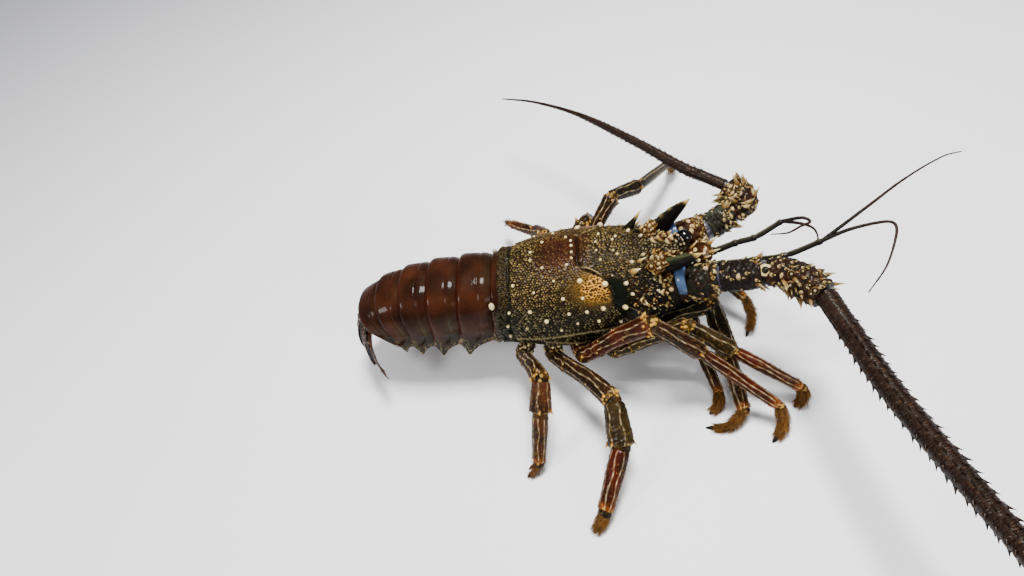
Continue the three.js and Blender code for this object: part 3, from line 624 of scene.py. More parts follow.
# Each spine of the left side: its root, its tip and its radius
PLATE_SPINES = [((130, 3, 76), (137, 5.5, 82), 2.2), ((126, 6, 74), (131, 8.5, 80.5), 1.8),
                ((120, 4, 74), (125, 5.5, 79.5), 1.4), ((114, 4.5, 70.5), (118, 5, 75), 1.2)]
BRIDGE_BROWN = paint(74, 52, 34)


def lumpy(line, radii, sides, lumps, seed, up=(0, 0, 1), flatness=1.0, swell=0.1):
    """Rings round a line with low round lumps on a lattice, of the given number along and around. Also
    gives the distance to each lump's middle, and its number."""
    share, turn = np.linspace(0, 1, len(line)), np.arange(sides) / sides
    away, own = cells(*np.meshgrid(share * lumps[0], turn * lumps[1], indexing="ij"), seed, wrap=lumps[1])
    dome = np.sqrt(np.clip(1 - (away / 0.5) ** 2, 0, 1))
    return sweep(line, radii[:, None] * (1 + swell * dome), up, flatness), away, own


def marbled(rings, away, own, ground, second, spots, amount, size=6.0, seed=9):
    """Two ground colours in soft patches, with pale spots on part of the lumps, each with a darker
    middle."""
    patch = np.clip(0.5 + 0.8 * mottle(rings, size, seed), 0, 1)
    colours = blend(blend(ground, second, patch), spots, (own < amount) * ramp(0.46, 0.3, away))
    return blend(colours, second * 0.6, (own < amount * 0.4) * ramp(0.2, 0.08, away))


def antennular_plate():
    """A flat lumpy bridge with four pairs of spines, and small thorns on its upper side."""
    share = np.linspace(0, 1, 60)
    radii = smooth([0, 0.35, 0.7, 0.93, 1], [6.4, 6.6, 8.4, 6.8, 3.2], share)
    rings, away, own = lumpy(curve(PLATE_PATH, share), radii, 60, (9, 14), 21, flatness=0.45, swell=0.14)
    parts = [solid(rings, marbled(rings, away, own, BLOB_ORANGE * 0.55, BRIDGE_BROWN * 0.8, BLOB_CREAM, 0.3))]
    bases, tips, radii = (np.array([s[k] for s in PLATE_SPINES]) for k in range(3))
    for side in (-1, 1):
        parts.append(studs(bases * [1, side, 1], tips * [1, side, 1], radii, SPINE_PROFILE,
                           (BRIDGE_BROWN, BLOB_OCHRE, CREAM), 12))
    parts.append(thorns(rings, 30, 22, (1.4, 3.2), 0.8, (BLOB_ORANGE * 0.6, BRIDGE_BROWN, BLOB_CREAM),
                        radius=0.4, facing=(0, 0, 1)))
    return parts


make("antennular_bridge", antennular_plate(), SHELL_FINISH, ["antennular_plate"])

# Antennae: three stout spiny joints on each side, set in blue-grey skin at the carapace, and then a long
# whip that bends back at the last joint. The whip is stiff, ringed all along, and set with rows of short
# forward spines.

# Each antenna: its side, its seed, the ends of its joints, a point on the third joint's bend, the whip's
# path, the whip's radii at even shares of its length, and the number of its rings
ANTENNAE = {
    "right": (-1, 31,
              [[106, -18.5, 67.5], [134, -23, 75], [158, -28, 82], [184, -53, 87]], [169.5, -33.5, 85],
              [[184, -53, 87], [188, -79, 90], [194.5, -112, 92], [202, -140, 94], [216, -187, 98],
               [232, -240, 100], [246, -300, 98], [252, -372, 92]],
              [5.8, 5.6, 5.3, 4.6, 3.7, 2.4, 0.8], 268),
    "left": (1, 41, [[106, 18.5, 67.5], [133, 21, 73], [149, 28, 77], [148, 42, 89]], [157, 32, 83],
             [[148, 42, 89], [134, 54, 90], [124, 65, 89], [95, 102, 88], [55, 152, 83], [19, 187, 77],
              [-12, 211, 70]],
             [3.8, 3.6, 3.1, 2.6, 1.5, 1.0, 0.5], 196),
}
# The radii at the stem's root and at the ends of its three joints
STEM_RADII = (10.2, 8.8, 8.2, 7.4)
STEM_GREEN = paint(38, 44, 28)
STEM_PURPLE = paint(50, 32, 32)
STEM_GREY = paint(84, 90, 76)
STEM_RUST = paint(96, 62, 36)
AMBER = paint(186, 146, 92)
RING_CREAM = paint(206, 188, 148)
SKIN_BLUE = paint(104, 124, 150)
WHIP_BROWN = paint(74, 54, 46)
WHIP_PALE = paint(128, 100, 76)
WHIP_RED = paint(66, 30, 24)
HOOK_COLUMNS = (1, 5, 10, 14, 20)
# The cream spots on the near antenna's second joint: each one's share of the way along the joint, its
# climb from the line that faces the viewer, its radius, and its dark middle's share of that radius
EYESPOTS = [(0.24, 3.2, 1.5, 0), (0.6, -0.4, 1.6, 0), (0.9, 1.5, 3.4, 0.62)]
SPOT_FACING = np.array([0.12, -0.62, 0.776])
SPOT_ABOVE = np.array([0.0, 0.776, 0.62])


def beyond(start, end, extra):
    """The point that lies this much past the end, on the line from the start."""
    return np.add(end, unit(np.subtract(end, start)) * extra)


def ball(centre, radii, ground, second, seed, turn_to=(1.0, 0, 0), spots=CREAM, amount=0.2,
         flat_to=(0, 0, 1)):
    """A lumpy egg: a circle's radius along its axis, stretched to three half sizes, the last one along
    flat_to."""
    angle = np.linspace(0.03, np.pi - 0.03, 36)
    line = np.array(centre) + unit(np.array(turn_to)) * (-np.cos(angle) * radii[0])[:, None]
    rings, away, own = lumpy(line, np.sin(angle) * radii[1], 40, (5, 10), seed, flat_to, radii[2] / radii[1])
    return solid(rings, marbled(rings, away, own, ground, second, spots * 0.85, amount))


def stem_joint(points, knots, radii, lumps, ground, second, amount, seed):
    """One stout joint of an antenna, narrow where it starts and with a swollen rim where it ends: its
    rings and the solid through them."""
    share = np.linspace(0, 1, 84)
    girth = smooth(knots, radii, share)
    girth *= 1 - 0.4 * ramp(0.05, 0, share) - 0.5 * ramp(0.96, 1, share) + 0.07 * hump(share, 0.9, 0.05)
    rings, away, own = lumpy(curve(points, share), girth, 72, lumps, seed, swell=0.09)
    return rings, solid(rings, marbled(rings, away, own, ground, second, RING_CREAM, amount, seed=seed))


def stem(side, seed, joints, bow):
    """The three stout joints with their spines, as a list of solids for each. A row of spines gives what
    thorns() takes: the number, the step of the seed, the lengths, the lean, the colours, the rows, and so
    on."""
    near = side < 0
    a, b, c, d = STEM_RADII
    dark = (RING_CREAM, HORN_DARK, YELLOW)
    pale = (AMBER * 0.6, RING_CREAM * 0.6, BLOB_CREAM * 0.85)
    knobby = (BLOB_OCHRE * 0.8, STEM_PURPLE, BLOB_CREAM * 0.8)
    tubes = [
        (([beyond(joints[1], joints[0], 2), joints[0], joints[1]], [0, 0.6, 1], [a * 0.9, a, b], (8, 16),
          STEM_GREEN if near else STEM_RUST, STEM_RUST * (0.4 if near else 0.6), 0.16 if near else 0.4),
         [(20, 3, (1.2, 2.8), 0.9, pale, (0.3, 1), 0.4),
          (22, 11, (1.8, 3.4), 0.8, knobby, (0.8, 0.97), 0.5, 12)]),
        (([joints[1], joints[2]], [0, 0.5, 1], [b * 0.9, b, c], (8, 12),
          STEM_PURPLE if near else STEM_GREY, STEM_PURPLE * 0.7, 0.04),
         [(26, 4, (1.5, 4.0), 0.9, dark, (0.1, 0.95)), (18, 5, (2.5, 5.5), 1.0, pale, (0.86, 0.97), 0.26)]),
        (([joints[2], bow, joints[3]], [0, 0.2, 0.6, 1], [c * 0.9, c, c * 1.12, d], (11, 14),
          STEM_PURPLE, STEM_RUST * 0.7, 0.1 if near else 0.34),
         [(50, 6, (1.2, 4.5), 0.9, dark, (0.1, 0.98)),
          (24 if near else 40, 10, (1.8, 3.4), 0.4, knobby, (0.05, 0.95), 0.6, 12, RING_PROFILE),
          (46, 7, (1.5, 8.5), 0.9, pale, (0.4, 0.98), 0.2)]),
    ]
    parts = []
    for number, (tube, spines) in enumerate(tubes):
        rings, body = stem_joint(*tube, seed + number)
        parts.append([body] + [thorns(rings, count, seed + step, *rest) for count, step, *rest in spines])
    if near:
        way = np.subtract(joints[2], joints[1])
        for share, climb, size, inner in EYESPOTS:
            rise = SPOT_FACING * np.sqrt((b + (c - b) * share) ** 2 - climb ** 2) * 1.02 + SPOT_ABOVE * climb
            at = joints[1] + way * share + rise
            spot = ball(at, (size * 1.3, size, 0.9), RING_CREAM, RING_CREAM, seed, way, flat_to=rise)
            parts[1].append(spot)
            if inner:
                radii = (size * inner, size * inner, 0.9)
                parts[1].append(ball(at + SPOT_FACING * 0.6, radii, STEM_PURPLE * 0.5, STEM_PURPLE, seed, way,
                                     flat_to=rise, amount=0))
    return parts


def joint_skins(side, joints, bow, after, end_radius):
    """The folded skin between the joints, as short tubes, and the blue collar round the root."""
    skins = []
    share = np.linspace(0, 1, 16)
    for at, on, size in zip(joints[1:], (joints[2], bow, after), (STEM_RADII[1], STEM_RADII[2], end_radius)):
        line = curve([beyond(on, at, 4.5), at, on], share)[:12]
        fold = size * (0.86 - 0.04 * np.cos(share[:12] * 40))
        skins.append(solid(sweep(line, np.repeat(fold[:, None], 40, 1)), blend(SKIN_BLUE, STEM_RUST, 0.5)))
    share = np.linspace(0, 1, 24)
    line = curve([[110.5, 18.7 * side, 71.6], [113, 19 * side, 72.4], [115.6, 19.4 * side, 73.2]], share)
    collar = sweep(line, np.repeat((10.5 + 0.5 * np.sin(share * np.pi))[:, None], 60, 1), flatness=1.02)
    # Painted shade: the blue collar grows darker towards its lower side, down to about a third of its blue.
    skins.append(solid(collar, blend(SKIN_BLUE * 0.35, SKIN_BLUE, ramp(-12, 2, collar[..., 2] - 69))))
    return skins


def whip_parts(seed, path, girth, rings):
    """The long lash with a ridge for each ring, a few pale grains, and rows of hooks that point to its
    tip."""
    rows, sides = rings * 4, 24
    share, turn = np.linspace(0, 1, rows), np.arange(sides) / sides
    radius = smooth(np.linspace(0, 1, len(girth)), girth, share)
    places = np.meshgrid(share * rings, turn * 10, indexing="ij")
    away, own = cells(*places, seed + 8, loose=0.3, wrap=10)
    ridge = 0.5 + 0.5 * np.cos(share * rings * 2 * np.pi)[:, None]
    line = curve(path, share)
    lash = sweep(line, radius[:, None] * (1 - 0.07 * ridge + 0.1 * ramp(0.45, 0.1, away) * (own > 0.4)))
    tone = blend(WHIP_BROWN, WHIP_BROWN * 0.55, ridge)
    tone = blend(tone, WHIP_PALE, ramp(0.36, 0.1, away) * (own > 0.78) * 0.7)
    tone = blend(tone, WHIP_RED, 0.5 * ramp(0.5, 1, share)[:, None])

    steps, each = int(rings * 0.42), len(HOOK_COLUMNS)
    rng = np.random.default_rng(seed + 9)
    row = np.repeat(np.linspace(0.07, 0.985, steps) * (rows - 1), each).astype(int)
    row = np.clip(row + rng.integers(-2, 3, len(row)), 0, rows - 1)
    column = np.mod(np.tile(HOOK_COLUMNS, steps) + np.repeat(np.arange(steps) % 2 * 2, each), sides)
    out = unit(lash[row, column] - line[row])
    size = radius[row] * 0.5 * rng.uniform(0.75, 1.2, len(row)) + 0.2
    base = line[row] + out * (radius[row] * 0.9)[:, None]
    tip = base + (out * 0.8 + unit(np.gradient(line, axis=0))[row]) * size[:, None]
    shades = (WHIP_BROWN * 0.6, WHIP_BROWN, WHIP_BROWN * 0.4)
    return [solid(lash, tone), studs(base, tip, size * 0.34, SPINE_PROFILE, shades, 5)]


STEM_FINISH = finish("antenna stem", 0.55, 0.07, 0.006, 0.0007, 0.0003)
SKIN_FINISH = finish("joint skin", 0.35, 0.4, 0.004, 0.0006, 0.0003, (0.8, 1.15))
WHIP_FINISH = finish("antenna whip", 0.5, 0.1, 0.01, 0.0005, 0.0002)
for word, (side, seed, joints, bow, path, girth, rings) in ANTENNAE.items():
    for number, parts in enumerate(stem(side, seed, joints, bow), 1):
        make(f"antenna_joint_{number}_{word}", parts, STEM_FINISH,
             [f"antenna_{word}_article_{number}"])
    make("antenna_skin_" + word, joint_skins(side, joints, bow, path[1], girth[0]), SKIN_FINISH)
    make("antenna_whip_" + word, whip_parts(seed, path, girth, rings), WHIP_FINISH,
         [f"antenna_{word}_flagellum_root", f"antenna_{word}_flagellum_tip"])

# Antennules: the two thin smooth feelers between the antennae. Each has a stalk of three slim joints,
# dark with a pale stripe along it, that forks into two fine ringed whips.
ANTENNULES = {
    "right": ([[120, -4, 66], [140, -7, 69], [157, -11, 74], [173, -15, 80], [192, -14, 88]], [
        [[192, -14, 88], [219, -1, 99], [239, 8, 108], [258, 14, 115], [266, 12, 119]],
        [[192, -14, 88], [207, -12, 93], [224, -13, 97], [228, -17, 98], [226, -25, 96], [217, -41, 92],
         [205, -54, 88]]]),
    "left": ([[120, 4, 67], [136, 4, 70], [149, 5, 74], [160, 5, 77], [176, 10, 83]], [
        [[176, 10, 83], [187, 8, 86], [190, 3, 87], [184, 1, 86], [177, -1, 84], [168, 3, 80]],
        [[176, 10, 83], [186, 4, 85], [191, -2, 86], [192, -8, 84], [189, -11, 83]]]),
}
ANTENNULE_DARK = paint(18, 16, 14)
ANTENNULE_PALE = paint(150, 146, 120)
ANTENNULE_TIP = paint(74, 44, 38)


def antennule(stalk, whips):
    """Three joints with swollen ends along the stalk, and two ringed whips that thin out to a point."""
    share, turn = np.linspace(0, 1, 110), circle(24)
    run = np.concatenate([[0], np.cumsum(np.linalg.norm(np.diff(stalk, axis=0), axis=1))])
    radius = smooth([0, 0.35, 0.7, 1], [3.0, 2.3, 2.0, 1.7], share)
    for end in run[1:] / run[-1]:
        radius = radius * (1 + 0.22 * hump(share, end - 0.02, 0.02) - 0.2 * hump(share, end + 0.012, 0.008))
    rings = sweep(curve(stalk, share), np.repeat(radius[:, None], 24, 1), flatness=0.8)
    stripe = 0.8 * np.maximum(hump(turn, np.pi * 0.6, 0.22), hump(turn, np.pi * 1.5, 0.3))
    parts = [solid(rings, blend(ANTENNULE_DARK, ANTENNULE_PALE, stripe))]
    share = np.linspace(0, 1, 300)
    radius = smooth([0, 0.4, 1], [1.25, 0.9, 0.35], share) * (1 + 0.08 * np.cos(share * 420))
    tone = blend(ANTENNULE_DARK, ANTENNULE_TIP, ramp(0, 0.5, share))[:, None]
    for whip in whips:
        parts.append(solid(sweep(curve(whip, share), np.repeat(radius[:, None], 10, 1)), tone))
    return parts


for word, (stalk, whips) in ANTENNULES.items():
    make("antennule_feeler_" + word, antennule(stalk, whips), WHIP_FINISH, ["antennule_" + word])

# Breast plate and mouth: under the head and chest lies a wedge of pale shell with a lobe towards each
# leg. In front of it are the jaws, a lumpy lip plate, and the outer pair of mouth feet, which look like
# small hairy legs.
BREAST_STATIONS = ([2, 20, 40, 62, 84], [20, 19.5, 17, 13.5, 9], [6, 8, 8, 7, 5])
BREAST_TAN = paint(170, 138, 92)
BREAST_BROWN = paint(92, 60, 40)
JAW_PALE = paint(196, 180, 150)
BRISTLE_GOLD = paint(176, 142, 92)
BRISTLE_DARK = paint(84, 58, 38)
FOOT_BROWN = paint(86, 58, 34)
FOOT_STRIPE = paint(190, 164, 112)
PATCH_SIZE = 0.003


def breast_plate():
    """Rings along the body: flat on top, a shallow keel below, with a furrow between the lobes of two
    legs."""
    stations, halves, depths = BREAST_STATIONS
    x = np.linspace(stations[0], stations[-1], 90)
    half, depth = (smooth(stations, values, x)[:, None] for values in (halves, depths))
    turn = np.linspace(0, np.pi, 48)
    furrow = 0.5 - 0.5 * np.cos((x[:, None] - 6) / 17 * 2 * np.pi)
    side = np.cos(turn)
    below = np.sin(turn) ** 0.6 * (1 - 0.14 * furrow * np.abs(side))
    top = BELLY_HEIGHT - 0.5
    low = np.stack([np.repeat(x[:, None], 48, 1), half * side * (1 - 0.06 * furrow),
                    top - depth * np.clip(below, 0, 0.985)], -1)
    back = low[:, ::-1][:, 6:-6:6].copy()
    back[..., 2] = top
    rings = np.concatenate([low, back], 1)
    tone = blend(BREAST_TAN, BREAST_BROWN, np.clip(0.35 + 0.6 * mottle(rings, 9, 51), 0, 1))
    points = thorns(rings, 60, 52, (0.7, 1.5), 0.2, (CREAM, CREAM, CREAM), facing=(0, 0, -1))
    return [solid(rings, tone), points]


def bristles(rings, count, seed, length, lean, plot, rows=(0, 1), turns=(0, 1), width=0.11, droop=0.35,
             colours=(BRISTLE_DARK, BRISTLE_GOLD)):
    """Stiff hairs on a swept surface: each is a three-sided spike that bends along the sweep. On the
    unwrap each is a patch of PATCH_SIZE at its root's place, inside the plot of the piece: left, bottom,
    width and height."""
    rng = np.random.default_rng(seed)
    number, columns = rings.shape[:2]
    row, column = rng.uniform(*rows, count), np.mod(rng.uniform(*turns, count), 1)
    i, j = (row * (number - 2)).astype(int), (column * columns).astype(int) % columns
    middle = rings.mean(axis=1)
    ahead = unit(np.gradient(middle, axis=0))[i]
    out = unit(rings[i, j] - middle[i]) + rng.normal(0, 0.18, (count, 3))
    way = unit(out + ahead * lean)
    size = rng.uniform(*length, count)[:, None]
    root = rings[i, j] - out * 0.12
    aside = unit(np.cross(way, out + [0.01, 0.02, 0.03]))
    face = np.cross(aside, way)
    levels = np.array([0, 0.4, 0.75, 1])
    reach = (size * levels)[..., None]
    centre = root[:, None] + way[:, None] * reach + (ahead * droop)[:, None] * reach * levels[:, None]
    thick = width * np.array([1, 0.8, 0.45])
    spokes = np.stack([aside * np.cos(a) + face * np.sin(a) for a in (0, 2.094, 4.189)], 1)
    points = centre[:, :3, None] + spokes[:, None] * thick[:, None, None]
    points = np.concatenate([points.reshape(count, 9, 3), centre[:, 3:]], 1)
    steps = (np.arange(count) * 10)[:, None, None]
    walls = np.array([[k, (k + 1) % 3, 3 + (k + 1) % 3, 3 + k] for k in range(3)])
    quads = np.concatenate([walls, walls + 3])
    caps = np.array([[6 + k, 6 + (k + 1) % 3, 9] for k in range(3)] + [[2, 1, 0]])
    left, bottom, wide, high = plot
    corner = np.stack([left + wide * column * 0.98, bottom + high * row * 0.98], -1)
    patch = np.array([[k / 3, a / 3] for a in range(3) for k in range(3)] + [[0.5, 1.0]]) * PATCH_SIZE
    shade = blend(*colours, [0, 0, 0, 0.5, 0.5, 0.5, 0.9, 0.9, 0.9, 1.0])
    shade = shade * rng.uniform(0.6, 1.3, (count, 1, 1))
    return (points.reshape(-1, 3), (quads + steps).reshape(-1, 4), (caps + steps).reshape(-1, 3),
            shade.reshape(-1, 3), (corner[:, None] + patch).reshape(-1, 2))


def mouth_foot(side, scale):
    """A small leg held forward under the mouth, of three lengths that narrow at their joints."""
    path = np.array([[86, 8, 33], [104, 9, 41], [119, 8, 47], [125, 7, 40]]) * [1, side, 1]
    path = path * scale + np.array([104, 0, 42]) * (1 - scale)
    share, turn = np.linspace(0, 1, 110), np.arange(36) / 36
    radius = smooth([0, 0.1, 0.4, 0.48, 0.56, 0.76, 0.82, 0.9, 1],
                    [3.2, 3.9, 3.5, 2.7, 3.2, 2.7, 2.0, 2.4, 0.9], share)
    rings = sweep(curve(path, share), radius[:, None] * scale * np.ones(36), (0, 1, 0))
    return rings, solid(rings, blend(FOOT_BROWN, FOOT_STRIPE, 0.7 * hump(np.mod(turn * 3, 1), 0.5, 0.12)))


LEG_FINISH = finish("leg", 0.5, 0.09, 0.006, 0.0006, 0.00025, gloss=0.09)
BRISTLE_FINISH = finish("bristle", 0.6, 0.0, 0.01, 0.0004, 0.00005)
make("breast_plate", breast_plate(), LEG_FINISH, ["sternum"])
make("lip_plate", [ball((108, 0, 54), (8, 13, 7), BREAST_BROWN, STEM_GREEN, 61),
                   ball((99, 5.2, 46), (7, 5.2, 6), JAW_PALE, BREAST_BROWN, 62),
                   ball((99, -5.2, 46), (7, 5.2, 6), JAW_PALE, BREAST_BROWN, 63),
                   ball((90, 0, 40), (9, 11, 6), BREAST_TAN, BREAST_BROWN, 64)], LEG_FINISH)
beard = []
for side, word in ((-1, "right"), (1, "left")):
    outer_rings, outer = mouth_foot(side, 1.0)
    inner_rings, inner = mouth_foot(side * 0.55, 0.72)
    make("mouth_foot_" + word, [outer, inner], LEG_FINISH, ["maxilliped_" + word])
    left = 0.0 if side < 0 else 0.5
    outer_plot, inner_plot = (left, 0, 0.24, 0.98), (left + 0.25, 0, 0.24, 0.98)
    beard.append(bristles(outer_rings, 900, 70 + side, (1.8, 4.2), 0.7, outer_plot, (0.15, 1)))
    beard.append(bristles(inner_rings, 400, 75 + side, (1.2, 3.0), 0.7, inner_plot, (0.2, 1)))
make("mouth_bristles", beard, BRISTLE_FINISH)

# Abdomen: six hoops of smooth shell that slide over each other like the bands of armour. Each has a
# furrow across it, a thin red-brown rim behind, and on each side a pointed lobe with a toothed,
# pale-grained edge.

# Each hoop edge, from the front: the step back to it, its pitch in degrees, its half width and its height
ABDOMEN_START = (-0.36, 84.0)
ABDOMEN_STATIONS = [(0, 0, 28, 44), (8, 0, 27.5, 44), (23, 0, 27.5, 44), (22, 4, 27, 43), (21, 11, 25.5, 40),
                    (20, 23, 23, 35), (20, 42, 20, 29)]
# How far each hoop's lobe hangs below its edge
LOBES = (3, 14, 12, 10, 8, 3)
HOOP_POWER = 0.86
HOOP_SHOULDER = 0.62
HOOP_SWEEP = 8.0
BACK_SHARE = 0.62
# The row and column of the first hoop's face where its pale knob stands
FIRST_KNOB = (27, 57)
TAIL_MAROON = paint(95, 64, 48)
TAIL_DARK = paint(66, 44, 33)
TAIL_RED = paint(94, 48, 34)
TAIL_OLIVE = paint(98, 92, 66)
TAIL_GREEN = paint(66, 66, 44)
LOBE_OLIVE = paint(62, 54, 26)
GRAIN_PALE = paint(224, 216, 184)
FLESH = paint(158, 126, 100)


def hoop_table():
    """The frame of each hoop edge, walked back along the body: x, z, pitch, half width and height."""
    x, z = ABDOMEN_START
    before, rows = 0.0, []
    for length, pitch, half, height in ABDOMEN_STATIONS:
        mean = np.radians((before + pitch) / 2)
        x, z, before = x - length * np.cos(mean), z - length * np.sin(mean), pitch
        rows.append((x, z, np.radians(pitch), half, height))
    return np.array(rows)


HOOPS = hoop_table()


def hoop_places(k, t, p, down_more=0.0):
    """Points on hoop k. t runs from its front edge to its rear one and p from the right lobe over the
    back to the left lobe. Over the back the hoop is a superellipse, and down the sides a straight wall
    that the lobe lengthens. The further down, the further back a point is swept."""
    x, z, pitch, half, height = np.moveaxis(HOOPS[k] + (HOOPS[k + 1] - HOOPS[k]) * t[..., None], -1, 0)
    side = np.abs(p)
    arch = np.clip(side / BACK_SHARE, 0, 1) * np.pi / 2
    wall = np.clip((side - BACK_SHARE) / (1 - BACK_SHARE), 0, 1)
    middle = HOOP_SHOULDER * height
    across = np.sign(p) * half * np.sin(arch + wall * 0.06 * np.pi) ** HOOP_POWER
    down = middle * (1 - np.cos(arch) ** HOOP_POWER) + wall * (height - middle + down_more)
    swept = np.clip(k + t, 0, 1) * (1 - 0.5 * np.clip(k + t - 5, 0, 1))
    back = (HOOP_SWEEP * side ** 2 + 0.25 * wall * down_more) * swept
    return np.stack([x + down * np.sin(pitch) - back * np.cos(pitch), across,
                     z - down * np.cos(pitch) - back * np.sin(pitch)], -1), wall


def hoop(k):
    """Hoop k of the abdomen, counted from 0: its outer face with relief and colours, and the solid that
    the flesh closes inside."""
    lengthways = np.linspace(0, 1.05 if k < 5 else 1.0, 30 if k == 0 else 84)
    t, p = np.meshgrid(lengthways, np.linspace(-1, 1, 190), indexing="ij")
    side = np.abs(p)
    point = smooth([0, 0.2, 0.45, 0.62, 0.74, 0.84, 0.95, 1.05],
                   [0.03, 0.2, 0.42, 0.72, 1.06, 0.55, 0.2, 0.08], t)
    saw = 0.05 * np.abs(np.sin(t * 26)) * ramp(0.3, 0.5, t)
    places, wall = hoop_places(k, t, p, LOBES[k] * (point + saw))
    if k == 0:
        relief = smooth([0, 0.3, 0.7, 0.95, 1.05], [-0.6, 0.3, 0.5, 0.3, -0.6], t)
    else:
        relief = smooth([0, 0.06, 0.2, 0.34, 0.4, 0.46, 0.7, 0.88, 0.98, 1.05],
                        [-2.1, -1.5, -0.2, 0.45, 0.2, 0.7, 1.4, 1.6, 0.9, -0.9], t)
    furrow = hump(t, 0.4, 0.03) * (k > 0)
    relief = relief * (1 - 0.6 * wall) + 1.1 * hump(wall, 0.15, 0.12) * hump(t, 0.3, 0.25)
    away, own = cells(t * 9, p * 60, 80 + k)
    edge = ramp(0.62, 0.9, wall) + 0.8 * ramp(0.25, 0.55, wall) * ramp(0.7, 0.85, t)
    grained = np.clip(edge + 0.6 * (k == 0) * ramp(0.35, 0.6, side), 0, 1)
    grain = ramp(0.42, 0.15, away) * (own > 0.5) * grained
    pits = ramp(0.3, 0.12, away) * (own < 0.25) * (1 - edge)
    outer = places - outward(places) * (relief + 0.45 * grain - 0.12 * pits)[..., None]

    patch = mottle(places, 16, 90)
    tone = blend(TAIL_MAROON, TAIL_DARK, np.clip(0.4 + 0.5 * patch, 0, 1))
    window = hump(side, 0.54 + 0.02 * k, 0.12) * hump(t, 0.34, 0.16) * (0.65 if k > 1 else 0.1)
    for shade, share in (
            (TAIL_OLIVE, np.clip(window * (1.1 + 0.3 * patch), 0, 1)),
            (TAIL_GREEN, (0.5 if k == 1 else 0.15) * hump(side, 0, 0.3) * hump(t, 0.12, 0.14)),
            (TAIL_RED, np.clip(0.6 * ramp(0.9, 1.0, t) + 0.1 * furrow, 0, 1)),
            (TAIL_DARK * 0.6, 0.7 * ramp(0.07, 0.0, t)),
            (LOBE_OLIVE, 0.85 * ramp(0.1, 0.6, wall + 0.15 * patch) * ramp(1.02, 0.9, t)),
            (GRAIN_PALE, grain * (0.4 + 0.4 * own)),
            (TAIL_OLIVE, 0.35 * pits)):
        tone = blend(tone, shade, share)
    x, z, pitch, half, height = (HOOPS[k] + (HOOPS[k + 1] - HOOPS[k]) * t[:, :1]).T[..., None]
    share, depth = np.array([(0.97, 0.99), (0.93, 0.9), (0.8, 0.84), (0.4, 0.74), (0, 0.72)]).T
    sunk = height * depth
    inner = np.stack([x + sunk * np.sin(pitch), half * share, z - sunk * np.cos(pitch)], -1)
    under = np.concatenate([inner, inner[:, -2::-1] * [1, -1, 1]], 1)
    shades = np.concatenate([tone, np.broadcast_to(FLESH, under.shape)], 1)
    return outer, solid(np.concatenate([outer, under], 1), shades)


TAIL_FINISH = finish("tail shell", 0.48, 0.11, 0.009, 0.0012, 0.0004, gloss=0.03)
for k in range(6):
    outer, body = hoop(k)
    parts = [body]
    if k == 0:
        for flip in (1, -1):
            parts.append(ball(outer[FIRST_KNOB] * [1, flip, 1], (1.9, 1.5, 3.1), CREAM, CREAM, 99))
    make(f"tail_hoop_{k + 1}", parts, TAIL_FINISH, [f"abdomen_{k + 1}"])

# Tail fan: a middle plate between two pairs of side blades, spread and curled under. Each blade is hard
# shell at its root and thin, finely ribbed skin behind, edged with a fringe of short hairs.
FAN_LENGTH = 50.0
FAN_CURL = np.radians(62)
FAN_SAG = 0.011
FAN_GAP = 0.4
FAN_BROWN = paint(70, 48, 34)
FAN_RIB = paint(104, 80, 52)
FAN_EDGE = paint(120, 70, 42)
# Each blade: its middle and half width at the root, the same at the tip, its height over the fan's arc,
# its length
BLADES = {
    "telson": (0, 9.5, 0, 12.5, 4, FAN_LENGTH - 1),
    "uropod_inner_left": (8.5, 4.5, 18, 12.5, 7, FAN_LENGTH),
    "uropod_outer_left": (12.5, 4, 34, 13, 10, FAN_LENGTH - 3),
    "uropod_inner_right": (-8.5, 4.5, -18, 12.5, 7, FAN_LENGTH),
    "uropod_outer_right": (-12.5, 4, -34, 13, 10, FAN_LENGTH - 3),
}


def fan_blade(root_across, root_half, tip_across, tip_half, lift, length, seed):
    """A blade along an arc that curls down. Across, it is thickest in the middle and thin at its
    edges."""
    rows, columns = 84, 72
    t = np.linspace(0, 1, rows)[:, None]
    along = FAN_GAP + length * t
    x_end, z_end, pitch = HOOPS[6][:3]
    turn = FAN_CURL / FAN_LENGTH
    bend = pitch + turn * along
    x = x_end - (np.sin(bend) - np.sin(pitch)) / turn
    z = z_end - (np.cos(pitch) - np.cos(bend)) / turn
    centre = root_across + (tip_across - root_across) * t ** 0.9
    rounding = np.sqrt(1 - 0.97 * np.clip((t - 0.7) / 0.3, 0, 1) ** 2)
    half = (root_half + (tip_half - root_half) * np.sin(t * np.pi / 2)) * rounding
    loop = circle(columns)
    s = np.cos(loop)
    across = centre + half * s
    hard = ramp(0.52, 0.44, t + 0.08 * np.abs(s))
    rib = 0.5 + 0.5 * np.cos(across * 2 * np.pi / 1.5 - centre * 2.2)
    thick = 0.9 * (1 - 0.75 * s ** 2) * (0.55 + 0.45 * ramp(0.9, 0.3, t)) + 0.25
    thick = thick + (1 - hard) * 0.12 * rib + 0.25 * hard * hump(np.abs(s), 0.5, 0.12)
    under = lift + FAN_SAG * across ** 2 - np.sin(loop) * thick
    rings = np.stack([x + under * np.sin(bend), across, z - under * np.cos(bend)], -1)
    away, own = cells(t * 16 + 0 * s, across / 2.2, seed)
    soft = blend(blend(FAN_BROWN, FAN_RIB, 0.55 * rib), FAN_EDGE, 0.8 * ramp(0.86, 1, t))
    tone = blend(TAIL_MAROON, FAN_BROWN, np.clip(0.5 + mottle(rings, 12, seed), 0, 1))
    tone = blend(blend(tone, soft, 1 - hard), GRAIN_PALE, ramp(0.3, 0.1, away) * (own > 0.7) * hard * 0.9)
    return rings, solid(rings, tone)


